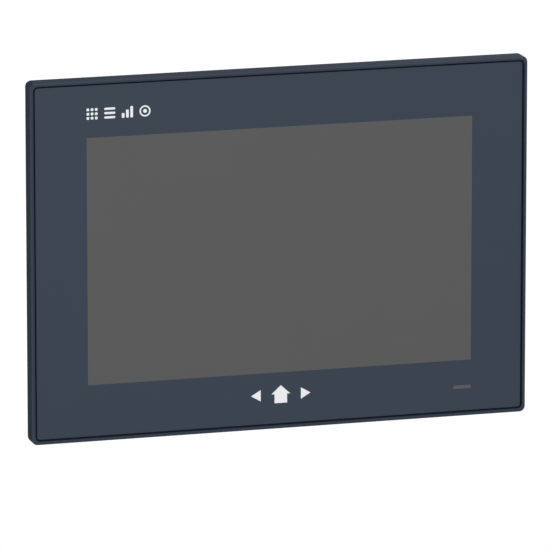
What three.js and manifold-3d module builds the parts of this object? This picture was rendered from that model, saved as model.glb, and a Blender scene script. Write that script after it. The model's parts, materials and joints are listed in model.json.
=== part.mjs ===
// Panel-mounted touch computer with a 10.1 inch wide screen. A flat front carries a shallow display tray, and
// behind that sits a fanless computer box with a finned heat sink, a hinged service door, a slide-out drive
// and its connectors on the underside. Four screw clamps hold it in the cut-out of a cabinet door.
//
// Millimetres. +X is to the right and +Z is up for somebody who faces the screen, and +Y runs into the
// cabinet. The origin is the middle of the front surface of the glass.

import * as THREE from 'three';
import { mergeVertices } from 'three/addons/utils/BufferGeometryUtils.js';
import Module from 'manifold-3d';

const wasm = await Module();
wasm.setup();

// ---------------------------------------------------------------------------------------------------------
// Driving dimensions
// ---------------------------------------------------------------------------------------------------------

const FIT = 0.1; // gap between two pieces that rest on each other
const SLIDE = 0.3; // gap round a piece that slides or turns
const CUT = 1; // how far a cutting tool runs past the surface it cuts
const BED = 0.2; // a feature that stands on a surface starts this far inside it
const SHEET = 1.2; // sheet steel of the tray and the box
const M4 = { shank: 1.9, hole: 2.2 }; // radii

// Visible window: the 216.96 x 135.60 mm active area of a 10.1 inch 16:10 screen, and 1 mm all round.
const WINDOW = { width: 219, height: 137.6 };

const BEZEL = { width: 282.5, height: 201, radius: 3.2, chamfer: 0.85, rim: 1.95 };
const RIM_FRONT = -0.8; // the rim stands this far proud of the glass
const SEAL_PLANE = 9.7; // back of the bezel, which meets the front of the cabinet door
const POCKET = {
  width: BEZEL.width - 2 * BEZEL.rim,
  height: BEZEL.height - 2 * BEZEL.rim,
  radius: 2.6,
  floor: 2.6,
};
const GLASS = { gap: 0.8, thickness: 2, radius: 1.8, chamfer: 0.3 };
const OPENING = { width: 233, height: 153, radius: 2 }; // hole through the bezel for the screen
const GASKET = { width: 274, height: 192, radius: 5, band: 6, seat: 1.5, proud: 0.8 };

const LIGHT = { width: 10, height: 2, belowWindow: 14.5 }; // status light bar
const LIGHT_X = WINDOW.width / 2 - LIGHT.width / 2;
const LIGHT_Z = -WINDOW.height / 2 - LIGHT.belowWindow;

const SCREEN = { width: 229.5, height: 149.1, sensor: 0.6, cell: 1.3, backlight: 7.7 };
const BRACKET = { width: 236, height: 154, front: SEAL_PLANE + FIT, back: 13.3 };
const TRAY = { width: 254, height: 172, radius: 2, front: SEAL_PLANE + FIT, back: 27.7, lip: 7 };

const BOX = { width: 232, height: 156, radius: 1.6, front: 28, depth: 23.7 };
const SIDE = BOX.width / 2;
const UNDERSIDE = -BOX.height / 2;
const BOARD = { width: 218, height: 148, z: -1, y: 2.7, thickness: 1.6 }; // y from the front of the box
const BOARD_TOP = BOARD.y + BOARD.thickness;
const CABLE = { width: 20, thickness: 0.3, z: 30, slotWidth: 24, slotHeight: 8 };

const SINK = { bottom: UNDERSIDE, top: 17, base: 3, fin: 8.9, finThickness: 1.8, pitch: 8.5, fins: 27 };
const SINK_SCREW = { x: 12.5 * SINK.pitch, low: -72, high: 11, head: 2.8, shank: 1.5, length: 7.5 };

const DOOR = { bottom: 18, top: 76.6, thickness: 1.5, gap: 0.2 };
const DOOR_BACK = BOX.depth + DOOR.gap + DOOR.thickness;
const DOOR_SCREW_Z = DOOR.bottom + 5;
const HINGE = { x: 90, y: BOX.depth + 2, z: BOX.height / 2 + 1.6, pin: 1, bore: 1.3, radius: 2.2 };
const KNUCKLE = { length: 12.6, ear: 2 };

const DRIVE = { x: 13, y: 11, z: 38, length: 100.2, width: 69.8, height: 7 }; // x is its inner end
const DRIVE_TRAY = { halfWidth: DRIVE.width / 2 + SLIDE + 1, floor: 1, lip: 5 };
// End plate and screw of the drive tray, from the front of the drive and its middle.
const END_PLATE = { bottom: -50, top: 39, thickness: 1.5, front: -3.6, back: 10.6 };
const DRIVE_SCREW = { y: 3.5, z: -44 };

const KNOB = { radius: 4.2, length: 4.6, teeth: 14, washer: 0.8, reach: 3.1 };

const CLAMP = { x: 100, width: 16, front: 15, earFront: 21.5, back: 26.5, screwHeight: 5.3 };
const HOOK = { x: 5, width: 3.4, neck: 2.4, toe: 2.4 };
const CLAMP_SLOT = { front: 16.5, length: 5.2 };
const CABINET_DOOR = 3.5; // thickness of the cabinet door that the clamps are drawn at
const FOOT = { tip: SEAL_PLANE + CABINET_DOOR, radius: 3, length: 3.1 };
const CLAMP_SCREW = { head: 3.3, headLength: 3, shankLength: 12.4 };

// Middle of each connector on the underside.
const PORT_X = {
  ground: 84,
  power: 66,
  button: 46,
  serial: 21,
  usb1: -9,
  usb2: -28,
  lan1: -47,
  lan2: -66,
  video: -86,
};

// ---------------------------------------------------------------------------------------------------------
// Solids. Each starts at its own y and runs back from there; x and z are its middle.
// ---------------------------------------------------------------------------------------------------------

function solidOf(geometry) {
  const bare = geometry.clone();
  bare.deleteAttribute('normal');
  bare.deleteAttribute('uv');
  const merged = mergeVertices(bare, 1e-4);
  const vertProperties = merged.attributes.position.array;
  const triVerts = new Uint32Array(merged.index.array);
  return new wasm.Manifold(new wasm.Mesh({ numProp: 3, vertProperties, triVerts }));
}

function geometryOf(solid) {
  const { numProp, numVert, vertProperties, triVerts } = solid.getMesh();
  const positions = new Float32Array(numVert * 3);
  for (let i = 0; i < numVert; i++) {
    positions.set(vertProperties.subarray(i * numProp, i * numProp + 3), i * 3);
  }
  const geometry = new THREE.BufferGeometry();
  geometry.setAttribute('position', new THREE.BufferAttribute(positions, 3));
  geometry.setIndex(new THREE.BufferAttribute(new Uint32Array(triVerts), 1));
  geometry.computeVertexNormals();
  return geometry;
}

const join = (...solids) => solids.reduce((whole, solid) => whole.add(solid));
const cut = (solid, ...tools) => tools.reduce((rest, tool) => rest.subtract(tool), solid);

// Evenly spaced values about a middle.
function spread(count, pitch, middle = 0) {
  return Array.from({ length: count }, (_, i) => middle + (i - (count - 1) / 2) * pitch);
}

function block(width, height, depth, x = 0, y = 0, z = 0) {
  return solidOf(new THREE.BoxGeometry(width, depth, height).translate(x, y + depth / 2, z));
}

// An outline in x and z, pushed back along y.
function pushed(shape, depth, x = 0, y = 0, z = 0, curveSegments = 1) {
  const geometry = new THREE.ExtrudeGeometry(shape, { depth, bevelEnabled: false, curveSegments });
  return solidOf(geometry.rotateX(Math.PI / 2).translate(x, y + depth, z));
}

// An outline in y and z, widened along x about its middle.
function widened(points, width, x = 0) {
  const shape = new THREE.Shape(points.map(([y, z]) => new THREE.Vector2(y, z)));
  const geometry = new THREE.ExtrudeGeometry(shape, { depth: width, bevelEnabled: false });
  geometry.rotateX(Math.PI / 2).rotateZ(Math.PI / 2);
  return solidOf(geometry.translate(x - width / 2, 0, 0));
}

function rounded(width, height, radius) {
  const [w, h] = [width / 2 - radius, height / 2 - radius];
  const shape = new THREE.Shape();
  shape.absarc(w, h, radius, 0, Math.PI / 2);
  shape.absarc(-w, h, radius, Math.PI / 2, Math.PI);
  shape.absarc(-w, -h, radius, Math.PI, 1.5 * Math.PI);
  shape.absarc(w, -h, radius, 1.5 * Math.PI, 2 * Math.PI);
  shape.closePath();
  return shape;
}

function slab(width, height, radius, depth, x = 0, y = 0, z = 0, curveSegments = 1) {
  return pushed(rounded(width, height, radius), depth, x, y, z, curveSegments);
}

// A flat ring between two rounded outlines.
function ring(outer, inner, depth, y = 0) {
  return cut(
    slab(outer.width, outer.height, outer.radius, depth, 0, y),
    slab(inner.width, inner.height, inner.radius, depth + 2 * CUT, 0, y - CUT),
  );
}

// A slab whose front edge is chamfered, built from three outlines one behind the other.
function chamferedSlab({ width, height, radius, chamfer }, depth, y, curveSegments) {
  const outline = (inset) => {
    const shape = rounded(width - 2 * inset, height - 2 * inset, radius - inset);
    return shape.getPoints(curveSegments).slice(0, -1);
  };
  const layers = [
    [y, outline(chamfer)],
    [y + chamfer, outline(0)],
    [y + depth, outline(0)],
  ];
  const count = layers[0][1].length;
  const back = (layers.length - 1) * count;
  const positions = layers.flatMap(([layerY, points]) => points.flatMap((p) => [p.x, layerY, p.y]));
  const index = [];
  for (let first = 0; first < back; first += count) {
    for (let i = 0; i < count; i++) {
      const [a, b] = [first + i, first + ((i + 1) % count)];
      index.push(a, a + count, b, b, a + count, b + count);
    }
  }
  for (const [a, b, c] of THREE.ShapeUtils.triangulateShape(layers[0][1], [])) {
    index.push(a, b, c);
    index.push(back + c, back + b, back + a);
  }
  const geometry = new THREE.BufferGeometry();
  geometry.setAttribute('position', new THREE.Float32BufferAttribute(positions, 3));
  geometry.setIndex(index);
  return solidOf(geometry);
}

// A round bar that starts at a point and runs along +x, +y or +z. Six sides make a hexagon.
function rod(radius, length, axis, x = 0, y = 0, z = 0, sides = 12, endRadius = radius) {
  const geometry = new THREE.CylinderGeometry(endRadius, radius, length, sides);
  geometry.translate(0, length / 2, 0);
  if (axis === 'x') geometry.rotateZ(-Math.PI / 2);
  if (axis === 'z') geometry.rotateX(Math.PI / 2);
  return solidOf(geometry.translate(x, y, z));
}

// A cross-shaped recess for a screwdriver, sunk from a face that looks along +y.
function crossRecess(size, depth, faceY) {
  const blade = size / 4;
  const arms = [[size, blade], [blade, size]];
  return join(...arms.map(([width, height]) => block(width, height, depth + CUT, 0, faceY - depth)));
}

// A disc with milled teeth round its edge.
function milledDisc(radius, length, teeth, y) {
  const points = [];
  for (let i = 0; i < 2 * teeth; i++) {
    const reach = i % 2 ? radius : radius * 0.93;
    const turn = (i * Math.PI) / teeth;
    points.push(new THREE.Vector2(reach * Math.cos(turn), reach * Math.sin(turn)));
  }
  return pushed(new THREE.Shape(points), length, 0, y);
}

// ---------------------------------------------------------------------------------------------------------
// Materials and meshes
// ---------------------------------------------------------------------------------------------------------

function finish(color, roughness, metalness) {
  return new THREE.MeshStandardMaterial({ color, roughness, metalness });
}

const FINISHES = {
  bezel: finish(0x3a424f, 0.55, 0.1),
  glass: finish(0x3c4451, 0.35, 0),
  rubber: finish(0x16181a, 0.9, 0),
  tape: finish(0x1c1c1e, 0.8, 0),
  clearPlastic: finish(0x55585c, 0.3, 0),
  film: finish(0x9aa0a5, 0.2, 0),
  screen: finish(0x303236, 0.25, 0),
  coatedSteel: finish(0x4a4f56, 0.6, 0.2),
  zincSteel: finish(0xa9adb0, 0.42, 0.9),
  steel: finish(0xb9bcc0, 0.3, 1),
  aluminium: finish(0xb4b8bc, 0.38, 1),
  anodised: finish(0x26292d, 0.45, 0.6),
  board: finish(0x1d4a33, 0.5, 0),
  blackPlastic: finish(0x1a1b1d, 0.55, 0),
  greenPlastic: finish(0x2f7a4a, 0.5, 0),
  cable: finish(0xd8d6cf, 0.5, 0),
};

function piece(name, solid, look, x = 0, y = 0, z = 0) {
  const mesh = new THREE.Mesh(geometryOf(solid), FINISHES[look]);
  mesh.name = name;
  mesh.position.set(x, y, z);
  return mesh;
}

function grouped(meshes, x = 0, y = 0, z = 0) {
  const group = new THREE.Group();
  group.add(...meshes);
  group.position.set(x, y, z);
  return group;
}

// ---------------------------------------------------------------------------------------------------------
// Front: bezel, glass and screen
// ---------------------------------------------------------------------------------------------------------

function frontBezel() {
  const depth = SEAL_PLANE - RIM_FRONT;
  const front = RIM_FRONT - CUT;
  const body = chamferedSlab(BEZEL, depth, RIM_FRONT, 3);
  const pocket = slab(POCKET.width, POCKET.height, POCKET.radius, POCKET.floor - front, 0, front, 0, 2);
  const opening = slab(OPENING.width, OPENING.height, OPENING.radius, depth + 2 * CUT, 0, front);
  const band = 2 * GASKET.band;
  const seatInside = { width: GASKET.width - band, height: GASKET.height - band, radius: 1 };
  const seat = ring(GASKET, seatInside, GASKET.seat + CUT, SEAL_PLANE - GASKET.seat);
  const lightHole = block(LIGHT.width + 2 * SLIDE, LIGHT.height + 2 * SLIDE, depth, LIGHT_X, 0, LIGHT_Z);
  return piece('front_bezel', cut(body, pocket, opening, seat, lightHole), 'bezel');
}

function coverGlass() {
  const [width, height] = [POCKET.width - 2 * GLASS.gap, POCKET.height - 2 * GLASS.gap];
  const glass = chamferedSlab({ ...GLASS, width, height }, GLASS.thickness, 0, 2);
  return piece('cover_glass', glass, 'glass');
}

function glassAdhesiveTape() {
  const thickness = POCKET.floor - GLASS.thickness - 2 * FIT;
  const outer = { width: POCKET.width - 3, height: POCKET.height - 3, radius: 2 };
  const inner = { width: OPENING.width + 7, height: OPENING.height + 7, radius: 2 };
  const through = thickness + 2 * CUT;
  const lightHole = block(LIGHT.width + 1, LIGHT.height + 1, through, LIGHT_X, -CUT, LIGHT_Z);
  const tape = cut(ring(outer, inner, thickness), lightHole);
  return piece('glass_adhesive_tape', tape, 'tape', 0, GLASS.thickness + FIT);
}

function panelGasket() {
  const inset = 2 * FIT;
  const band = 2 * (GASKET.band - inset);
  const outer = { width: GASKET.width - inset, height: GASKET.height - inset, radius: GASKET.radius };
  const inner = { width: outer.width - band, height: outer.height - band, radius: 1.1 };
  const gasket = ring(outer, inner, GASKET.seat + GASKET.proud - FIT);
  return piece('panel_gasket', gasket, 'rubber', 0, SEAL_PLANE - GASKET.seat + FIT);
}

// Clear bar from the back of the glass to the lamp on the little board behind it.
const LIGHT_PIPE = { front: GLASS.thickness + FIT, back: 14.3 };

function statusLightPipe() {
  const bar = block(LIGHT.width, LIGHT.height, LIGHT_PIPE.back - LIGHT_PIPE.front);
  return piece('status_light_pipe', bar, 'clearPlastic', LIGHT_X, LIGHT_PIPE.front, LIGHT_Z);
}

// The board stands on two spacers behind the turned-in front edge of the tray.
function statusLedBoard() {
  const lamp = 1.1;
  const spacerFront = TRAY.front + SHEET + FIT;
  const boardFront = LIGHT_PIPE.back + FIT + lamp;
  const spacerLength = boardFront - spacerFront + BED;
  const board = block(22, 7, SHEET, 0, boardFront, 2.4);
  const led = block(3.5, 2.2, lamp + BED, 0, boardFront - lamp, 0);
  const spacers = [-8.5, 8.5].map((x) => rod(1.4, spacerLength, 'y', x, spacerFront, 2.4));
  return piece('status_led_board', join(board, led, ...spacers), 'board', LIGHT_X, 0, LIGHT_Z);
}

function screenStack() {
  const sensorY = GLASS.thickness + FIT;
  const cellY = sensorY + SCREEN.sensor + FIT;
  const backlightY = cellY + SCREEN.cell + FIT;
  const sensor = slab(OPENING.width - 2, OPENING.height - 2, 1.5, SCREEN.sensor);
  const cell = block(SCREEN.width - 4.5, SCREEN.height - 5.5, SCREEN.cell);
  const backlight = slab(SCREEN.width, SCREEN.height, 1.5, SCREEN.backlight);
  return [
    piece('touch_sensor', sensor, 'film', 0, sensorY),
    piece('lcd_cell', cell, 'screen', 0, cellY),
    piece('backlight_unit', backlight, 'zincSteel', 0, backlightY),
  ];
}

// Shallow steel pan behind the screen, cut out for both flat cables.
function lcdBracket() {
  const depth = BRACKET.back - BRACKET.front;
  const through = depth + 2 * CUT;
  const hollow = slab(BRACKET.width - 2, BRACKET.height - 2, 1, depth - SHEET + CUT, 0, -CUT);
  const windows = [-70, 70].map((x) => slab(70, 56, 4, through, x, -CUT, -8));
  const cableSlot = block(CABLE.slotWidth, 2 * CABLE.slotHeight, through, 0, -CUT, CABLE.z - 4);
  const tailNotch = block(22, 8, through, 0, -CUT, 3 - BRACKET.height / 2);
  const pan = cut(slab(BRACKET.width, BRACKET.height, 2, depth), hollow, ...windows, cableSlot, tailNotch);
  return piece('lcd_bracket', pan, 'zincSteel', 0, BRACKET.front);
}

const TOUCH_BOARD = { width: 64, height: 20, z: -52, foot: 0.6 };

function touchControllerBoard() {
  const chipY = TOUCH_BOARD.foot + SHEET - BED;
  const feet = [-28, 28].map((x) => block(4, TOUCH_BOARD.height - 4, TOUCH_BOARD.foot + BED, x));
  const board = join(
    block(TOUCH_BOARD.width, TOUCH_BOARD.height, SHEET, 0, TOUCH_BOARD.foot),
    block(9, 9, 1, -14, chipY),
    block(5, 5, 1, 4, chipY, 3),
    block(16, 3.5, 2, 20, chipY, 4),
    ...feet,
  );
  return piece('touch_controller_board', board, 'board', 0, BRACKET.back + FIT, TOUCH_BOARD.z);
}

// Tail of the touch sensor: back past the edge of the screen, then up over the controller board.
function touchFlatCable() {
  const [front, back, end] = [2.9, 15.9, -63];
  const low = 1.4 - BRACKET.height / 2;
  const { thickness } = CABLE;
  const outline = [
    [front, low],
    [back, low],
    [back, end],
    [back - thickness, end],
    [back - thickness, low + thickness],
    [front, low + thickness],
  ];
  return piece('touch_flat_cable', widened(outline, 16), 'cable');
}

// From the back of the screen through the tray, the box and the main board, folded flat at both ends.
function displayFlatCable() {
  const front = BRACKET.back - SHEET;
  const back = BOX.front + BOARD_TOP + 0.5;
  const { z, thickness, width } = CABLE;
  const outline = [
    [front, z - 9],
    [front, z],
    [back - thickness, z],
    [back - thickness, z + 10],
    [back, z + 10],
    [back, z - thickness],
    [front + thickness, z - thickness],
    [front + thickness, z - 9],
  ];
  return piece('display_flat_cable', widened(outline, width), 'cable');
}

// Folded steel tray behind the bezel. Its top and bottom carry the slots that the clamps hook into.
function displayTray() {
  const depth = TRAY.back - TRAY.front;
  const through = SHEET + 2 * CUT;
  const shell = cut(
    slab(TRAY.width, TRAY.height, TRAY.radius, depth, 0, 0, 0, 2),
    slab(TRAY.width - 2 * SHEET, TRAY.height - 2 * SHEET, 1, depth - 2 * SHEET, 0, SHEET),
    slab(TRAY.width - 2 * TRAY.lip, TRAY.height - 2 * TRAY.lip, 1, through, 0, -CUT),
  );
  const vent = { width: 3, depth: 9, y: 6 };
  const openings = [
    block(LIGHT.width + 1, LIGHT.height + 1, through, LIGHT_X, -CUT, LIGHT_Z),
    block(CABLE.slotWidth, CABLE.slotHeight, through, 0, depth - SHEET - CUT, CABLE.z),
  ];
  const hookPlaces = [-CLAMP.x, CLAMP.x].flatMap((x) => [x - HOOK.x, x + HOOK.x]);
  for (const side of [-1, 1]) {
    const wallZ = side * (TRAY.height / 2 - SHEET / 2);
    const wallX = side * (TRAY.width / 2 - SHEET / 2);
    for (const x of hookPlaces) {
      const slotY = CLAMP_SLOT.front - TRAY.front;
      openings.push(block(HOOK.width + 2 * SLIDE, through, CLAMP_SLOT.length, x, slotY, wallZ));
    }
    for (const x of spread(7, 7)) openings.push(block(vent.width, through, vent.depth, x, vent.y, wallZ));
    for (const z of spread(5, 7)) openings.push(block(through, vent.width, vent.depth, wallX, vent.y, z));
  }
  return piece('display_tray', cut(shell, ...openings), 'coatedSteel', 0, TRAY.front);
}

const frontModule = grouped([
  frontBezel(),
  coverGlass(),
  glassAdhesiveTape(),
  panelGasket(),
  statusLightPipe(),
  statusLedBoard(),
  ...screenStack(),
  lcdBracket(),
  touchControllerBoard(),
  touchFlatCable(),
  displayFlatCable(),
  displayTray(),
]);

// ---------------------------------------------------------------------------------------------------------
// Computer box. Everything in it is measured from the front of the box.
// ---------------------------------------------------------------------------------------------------------

const THROUGH_WALL = SHEET + 2 * CUT;
const UNDERSIDE_WALL = UNDERSIDE + SHEET / 2;
const SIDE_WALL = SIDE - SHEET / 2;
const BACK_WALL_CUT = BOX.depth - SHEET - CUT;
const BUTTON = { radius: 4, y: BOARD_TOP + 6.5 };
const GROUND_Y = BOARD_TOP + 6.5;

// Middle, width, depth and first y of the opening in the underside for each connector.
const PORT_OPENINGS = [
  [PORT_X.power, 22.4, 12.4, BOARD_TOP],
  [PORT_X.serial, 19.2, 10.8, BOARD_TOP + 1],
  [PORT_X.usb1, 14, 16.4, BOARD_TOP],
  [PORT_X.usb2, 14, 16.4, BOARD_TOP],
  [PORT_X.lan1, 16.8, 14.2, BOARD_TOP],
  [PORT_X.lan2, 16.8, 14.2, BOARD_TOP],
  [PORT_X.video, 17.6, 6.4, BOARD_TOP],
];

function ventSlots() {
  const vent = { width: 2.8, depth: 12, y: 6 };
  const top = [-60, 60].flatMap((middle) => spread(8, 6, middle));
  const sides = spread(7, 6, -42);
  return [
    ...top.map((x) => block(vent.width, THROUGH_WALL, vent.depth, x, vent.y, -UNDERSIDE_WALL)),
    ...sides.map((z) => block(THROUGH_WALL, vent.width, vent.depth, -SIDE_WALL, vent.y, z)),
    ...sides.map((z) => block(THROUGH_WALL, vent.width, vent.depth, SIDE_WALL, vent.y, z)),
  ];
}

function sinkScrewPlaces() {
  return [SINK_SCREW.low, SINK_SCREW.high].flatMap((z) => [[-SINK_SCREW.x, z], [SINK_SCREW.x, z]]);
}

function chassisOpenings() {
  const trayOpening = 2 * (DRIVE_TRAY.halfWidth + BED);
  const driveY = DRIVE.y - DRIVE_TRAY.floor - 2 * SLIDE;
  const sinkHole = SINK_SCREW.shank + SLIDE;
  const driveScrewY = DRIVE.y + DRIVE_SCREW.y;
  const driveScrewZ = DRIVE.z + DRIVE_SCREW.z;
  return [
    ...PORT_OPENINGS.map(([x, width, depth, y]) => block(width, THROUGH_WALL, depth, x, y, UNDERSIDE_WALL)),
    ...ventSlots(),
    ...sinkScrewPlaces().map(([x, z]) => rod(sinkHole, THROUGH_WALL, 'y', x, BACK_WALL_CUT, z)),
    rod(BUTTON.radius + SLIDE, THROUGH_WALL, 'z', PORT_X.button, BUTTON.y, UNDERSIDE - CUT, 16),
    rod(M4.hole, THROUGH_WALL, 'z', PORT_X.ground, GROUND_Y, UNDERSIDE - CUT),
    rod(M4.hole, THROUGH_WALL, 'x', SIDE - SHEET - CUT, driveScrewY, driveScrewZ),
    rod(M4.hole, THROUGH_WALL, 'y', 0, BACK_WALL_CUT, DOOR_SCREW_Z),
    rod(HINGE.pin + 0.15, BOX.width, 'x', -SIDE, HINGE.y, HINGE.z),
    block(THROUGH_WALL, trayOpening, DRIVE.height + 2.2, SIDE_WALL, driveY, DRIVE.z),
    block(CABLE.slotWidth, CABLE.slotHeight, THROUGH_WALL, 0, -CUT, CABLE.z),
  ];
}

// The two ears at each knuckle stand just off its ends.
function earPlaces() {
  const offset = (KNUCKLE.length + KNUCKLE.ear) / 2 + SLIDE;
  return [-HINGE.x, HINGE.x].flatMap((x) => [x - offset, x + offset]);
}

// One ear of the door hinge: a round eye on an arm that grows out of the top wall.
function hingeEar(x) {
  const eye = rod(HINGE.radius, KNUCKLE.ear, 'x', x - KNUCKLE.ear / 2, HINGE.y, HINGE.z);
  const arm = block(KNUCKLE.ear, 2.4, 6, x, HINGE.y - 6.6, BOX.height / 2 + 0.6);
  const neck = block(KNUCKLE.ear, 1.6, 2, x, HINGE.y - 2, HINGE.z);
  return join(eye, arm, neck);
}

// Folded steel box, open at the back, with a turned-in edge that the heat sink and the door rest on.
function boxChassis() {
  const shell = cut(
    slab(BOX.width, BOX.height, BOX.radius, BOX.depth, 0, 0, 0, 2),
    slab(BOX.width - 2 * SHEET, BOX.height - 2 * SHEET, 0.6, BOX.depth - 2 * SHEET, 0, SHEET),
    slab(BOX.width - 26, BOX.height - 16, 1, THROUGH_WALL, 0, BACK_WALL_CUT),
  );
  const postLength = BOARD.y - SHEET - FIT + BED;
  const postPlaces = [-100, 100].flatMap((x) => [[x, -66], [x, 66]]);
  const posts = postPlaces.map(([x, z]) => rod(3, postLength, 'y', x, SHEET - BED, z, 8));
  const divider = block(BOX.width - SHEET, 6, SHEET, 0, BOX.depth - SHEET, DOOR.bottom - 0.5);
  const screwTab = block(16, 12, SHEET, 0, BOX.depth - SHEET, DOOR.bottom + 3);
  const body = join(shell, divider, screwTab, ...posts, ...earPlaces().map(hingeEar));
  return piece('box_chassis', cut(body, ...chassisOpenings()), 'coatedSteel');
}

const PROCESSOR = { x: -8, z: -34, height: 2.2 };
const SOCKET = { x: -66, z: 7.4, height: 6.6 };
const MEMORY = { width: 67.6, height: 30, y: 5, z: 23.4 };
const BATTERY = { x: -84, z: 55, radius: 10, base: 1 };

// A block that stands on the circuit board.
function onBoard(width, height, depth, x, z) {
  return block(width, height, depth + BED, x, BOARD.thickness - BED, z);
}

function memorySocket() {
  const bar = onBoard(74, SOCKET.height, SOCKET.height, SOCKET.x, SOCKET.z);
  const slotY = BOARD.thickness + MEMORY.y - FIT;
  const slot = block(MEMORY.width + 2 * SLIDE, SOCKET.height, 1.4, SOCKET.x, slotY, SOCKET.z + 3.5);
  const arms = [-35, 35].map((x) => onBoard(3.4, 26, MEMORY.y - FIT, SOCKET.x + x, SOCKET.z + 14));
  return join(cut(bar, slot), ...arms);
}

function batteryHolder() {
  const base = onBoard(25, 25, BATTERY.base, BATTERY.x, BATTERY.z);
  const walls = [-12, 12].map((x) => onBoard(3, 12, 4.2, BATTERY.x + x, BATTERY.z));
  return join(base, ...walls);
}

// Circuit board with what is soldered to it: processor, chokes, capacitors, sockets and the button's switch.
function mainBoard() {
  const board = cut(
    block(BOARD.width, BOARD.height, BOARD.thickness, 0, 0, BOARD.z),
    block(CABLE.slotWidth, CABLE.slotHeight, BOARD.thickness + 2 * CUT, 0, -CUT, CABLE.z),
  );
  const soldered = [
    onBoard(26, 26, 1.2, PROCESSOR.x, PROCESSOR.z),
    onBoard(14, 10, PROCESSOR.height, PROCESSOR.x, PROCESSOR.z),
    onBoard(14, 14, 1.4, 34, -34),
    onBoard(11, 18, 1.2, -44, -44),
    onBoard(9, 9, 1.2, 60, -48),
    onBoard(6, 6, 9, PORT_X.button, UNDERSIDE + 10.5),
    ...spread(3, 12, -72).map((x) => onBoard(8, 8, 5, x, -22)),
    ...spread(4, 9, 62).map((x) => rod(3, 7.2, 'y', x, BOARD.thickness - BED, -28, 8)),
    memorySocket(),
    batteryHolder(),
  ];
  return piece('main_board', join(board, ...soldered), 'board', 0, BOARD.y);
}

// Stepped block that carries the heat of the processor to the heat sink.
function thermalBlock() {
  const front = BOARD_TOP + PROCESSOR.height + FIT;
  const height = BOX.depth - front;
  const step = 3;
  const solid = join(block(24, 24, step + BED), block(34, 34, height - step, 0, step));
  return piece('thermal_block', solid, 'aluminium', PROCESSOR.x, front, PROCESSOR.z);
}

function memoryModule() {
  const board = block(MEMORY.width, MEMORY.height, SHEET);
  const chips = spread(4, 15.5).map((x) => block(11, 8, 1.3, x, SHEET - BED, 3));
  return piece('memory_module', join(board, ...chips), 'board', SOCKET.x, BOARD_TOP + MEMORY.y, MEMORY.z);
}

function coinCell() {
  const rim = rod(BATTERY.radius - 1.2, 0.7, 'y', 0, 0, 0, 20);
  const can = rod(BATTERY.radius, 2.6, 'y', 0, 0.6, 0, 20);
  return piece('coin_cell', join(rim, can), 'steel', BATTERY.x, BOARD_TOP + BATTERY.base + FIT, BATTERY.z);
}

function heatSink() {
  const height = SINK.top - SINK.bottom;
  const middle = (SINK.top + SINK.bottom) / 2;
  const base = slab(BOX.width, height, BOX.radius, SINK.base, 0, 0, middle, 2);
  const finFront = SINK.base - BED;
  const fins = spread(SINK.fins, SINK.pitch).map((x) => {
    return block(SINK.finThickness, height - 3, SINK.fin + BED, x, finFront, middle);
  });
  const hole = SINK_SCREW.shank + SLIDE;
  const holes = sinkScrewPlaces().map(([x, z]) => rod(hole, SINK.base + 2 * CUT, 'y', x, -CUT, z));
  return piece('heat_sink', cut(join(base, ...fins), ...holes), 'aluminium', 0, BOX.depth + FIT);
}

function heatSinkScrews() {
  const headLength = 1.9;
  const head = rod(SINK_SCREW.head, headLength, 'y', 0, 0, 0, 14, 2.2);
  const shank = rod(SINK_SCREW.shank, SINK_SCREW.length + BED, 'y', 0, -SINK_SCREW.length, 0, 8);
  const screw = cut(join(head, shank), crossRecess(SINK_SCREW.head, 1.1, headLength));
  const y = BOX.depth + SINK.base + 2 * FIT;
  return sinkScrewPlaces().map(([x, z], i) => piece(`heat_sink_screw_${i + 1}`, screw, 'steel', x, y, z));
}

// ---- Service door ---------------------------------------------------------------------------------------

function serviceDoor() {
  const front = BOX.depth + DOOR.gap;
  const middle = (DOOR.top + DOOR.bottom) / 2;
  const through = DOOR.thickness + 2 * CUT;
  const leaf = slab(BOX.width, DOOR.top - DOOR.bottom, BOX.radius, DOOR.thickness, 0, front, middle, 2);
  const knuckles = [-HINGE.x, HINGE.x].flatMap((x) => [
    rod(HINGE.radius, KNUCKLE.length, 'x', x - KNUCKLE.length / 2, HINGE.y, HINGE.z),
    block(KNUCKLE.length, HINGE.z - DOOR.top + 2, DOOR.thickness, x, front, HINGE.z - 2.5),
  ]);
  const bore = rod(HINGE.bore, BOX.width, 'x', -SIDE, HINGE.y, HINGE.z);
  const screwHole = rod(M4.hole, through, 'y', 0, front - CUT, DOOR_SCREW_Z);
  const ventPlaces = [-62, 62].flatMap((x) => spread(6, 7, x));
  const vents = ventPlaces.map((x) => block(3, 26, through, x, front - CUT, middle + 2));
  const notches = earPlaces().map((x) => block(KNUCKLE.ear + 2 * SLIDE, 4, 6, x, front - CUT, DOOR.top));
  const door = cut(join(leaf, ...knuckles), bore, screwHole, ...vents, ...notches);
  return piece('service_door', door, 'coatedSteel');
}

function doorHingePin() {
  const length = 2 * HINGE.x + KNUCKLE.length + 2 * KNUCKLE.ear + 4;
  const pin = rod(HINGE.pin, length, 'x', -length / 2, 0, 0);
  const head = rod(1.9, 1.4, 'x', length / 2 - BED, 0, 0);
  return piece('door_hinge_pin', join(pin, head), 'steel', 0, HINGE.y, HINGE.z);
}

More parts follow.
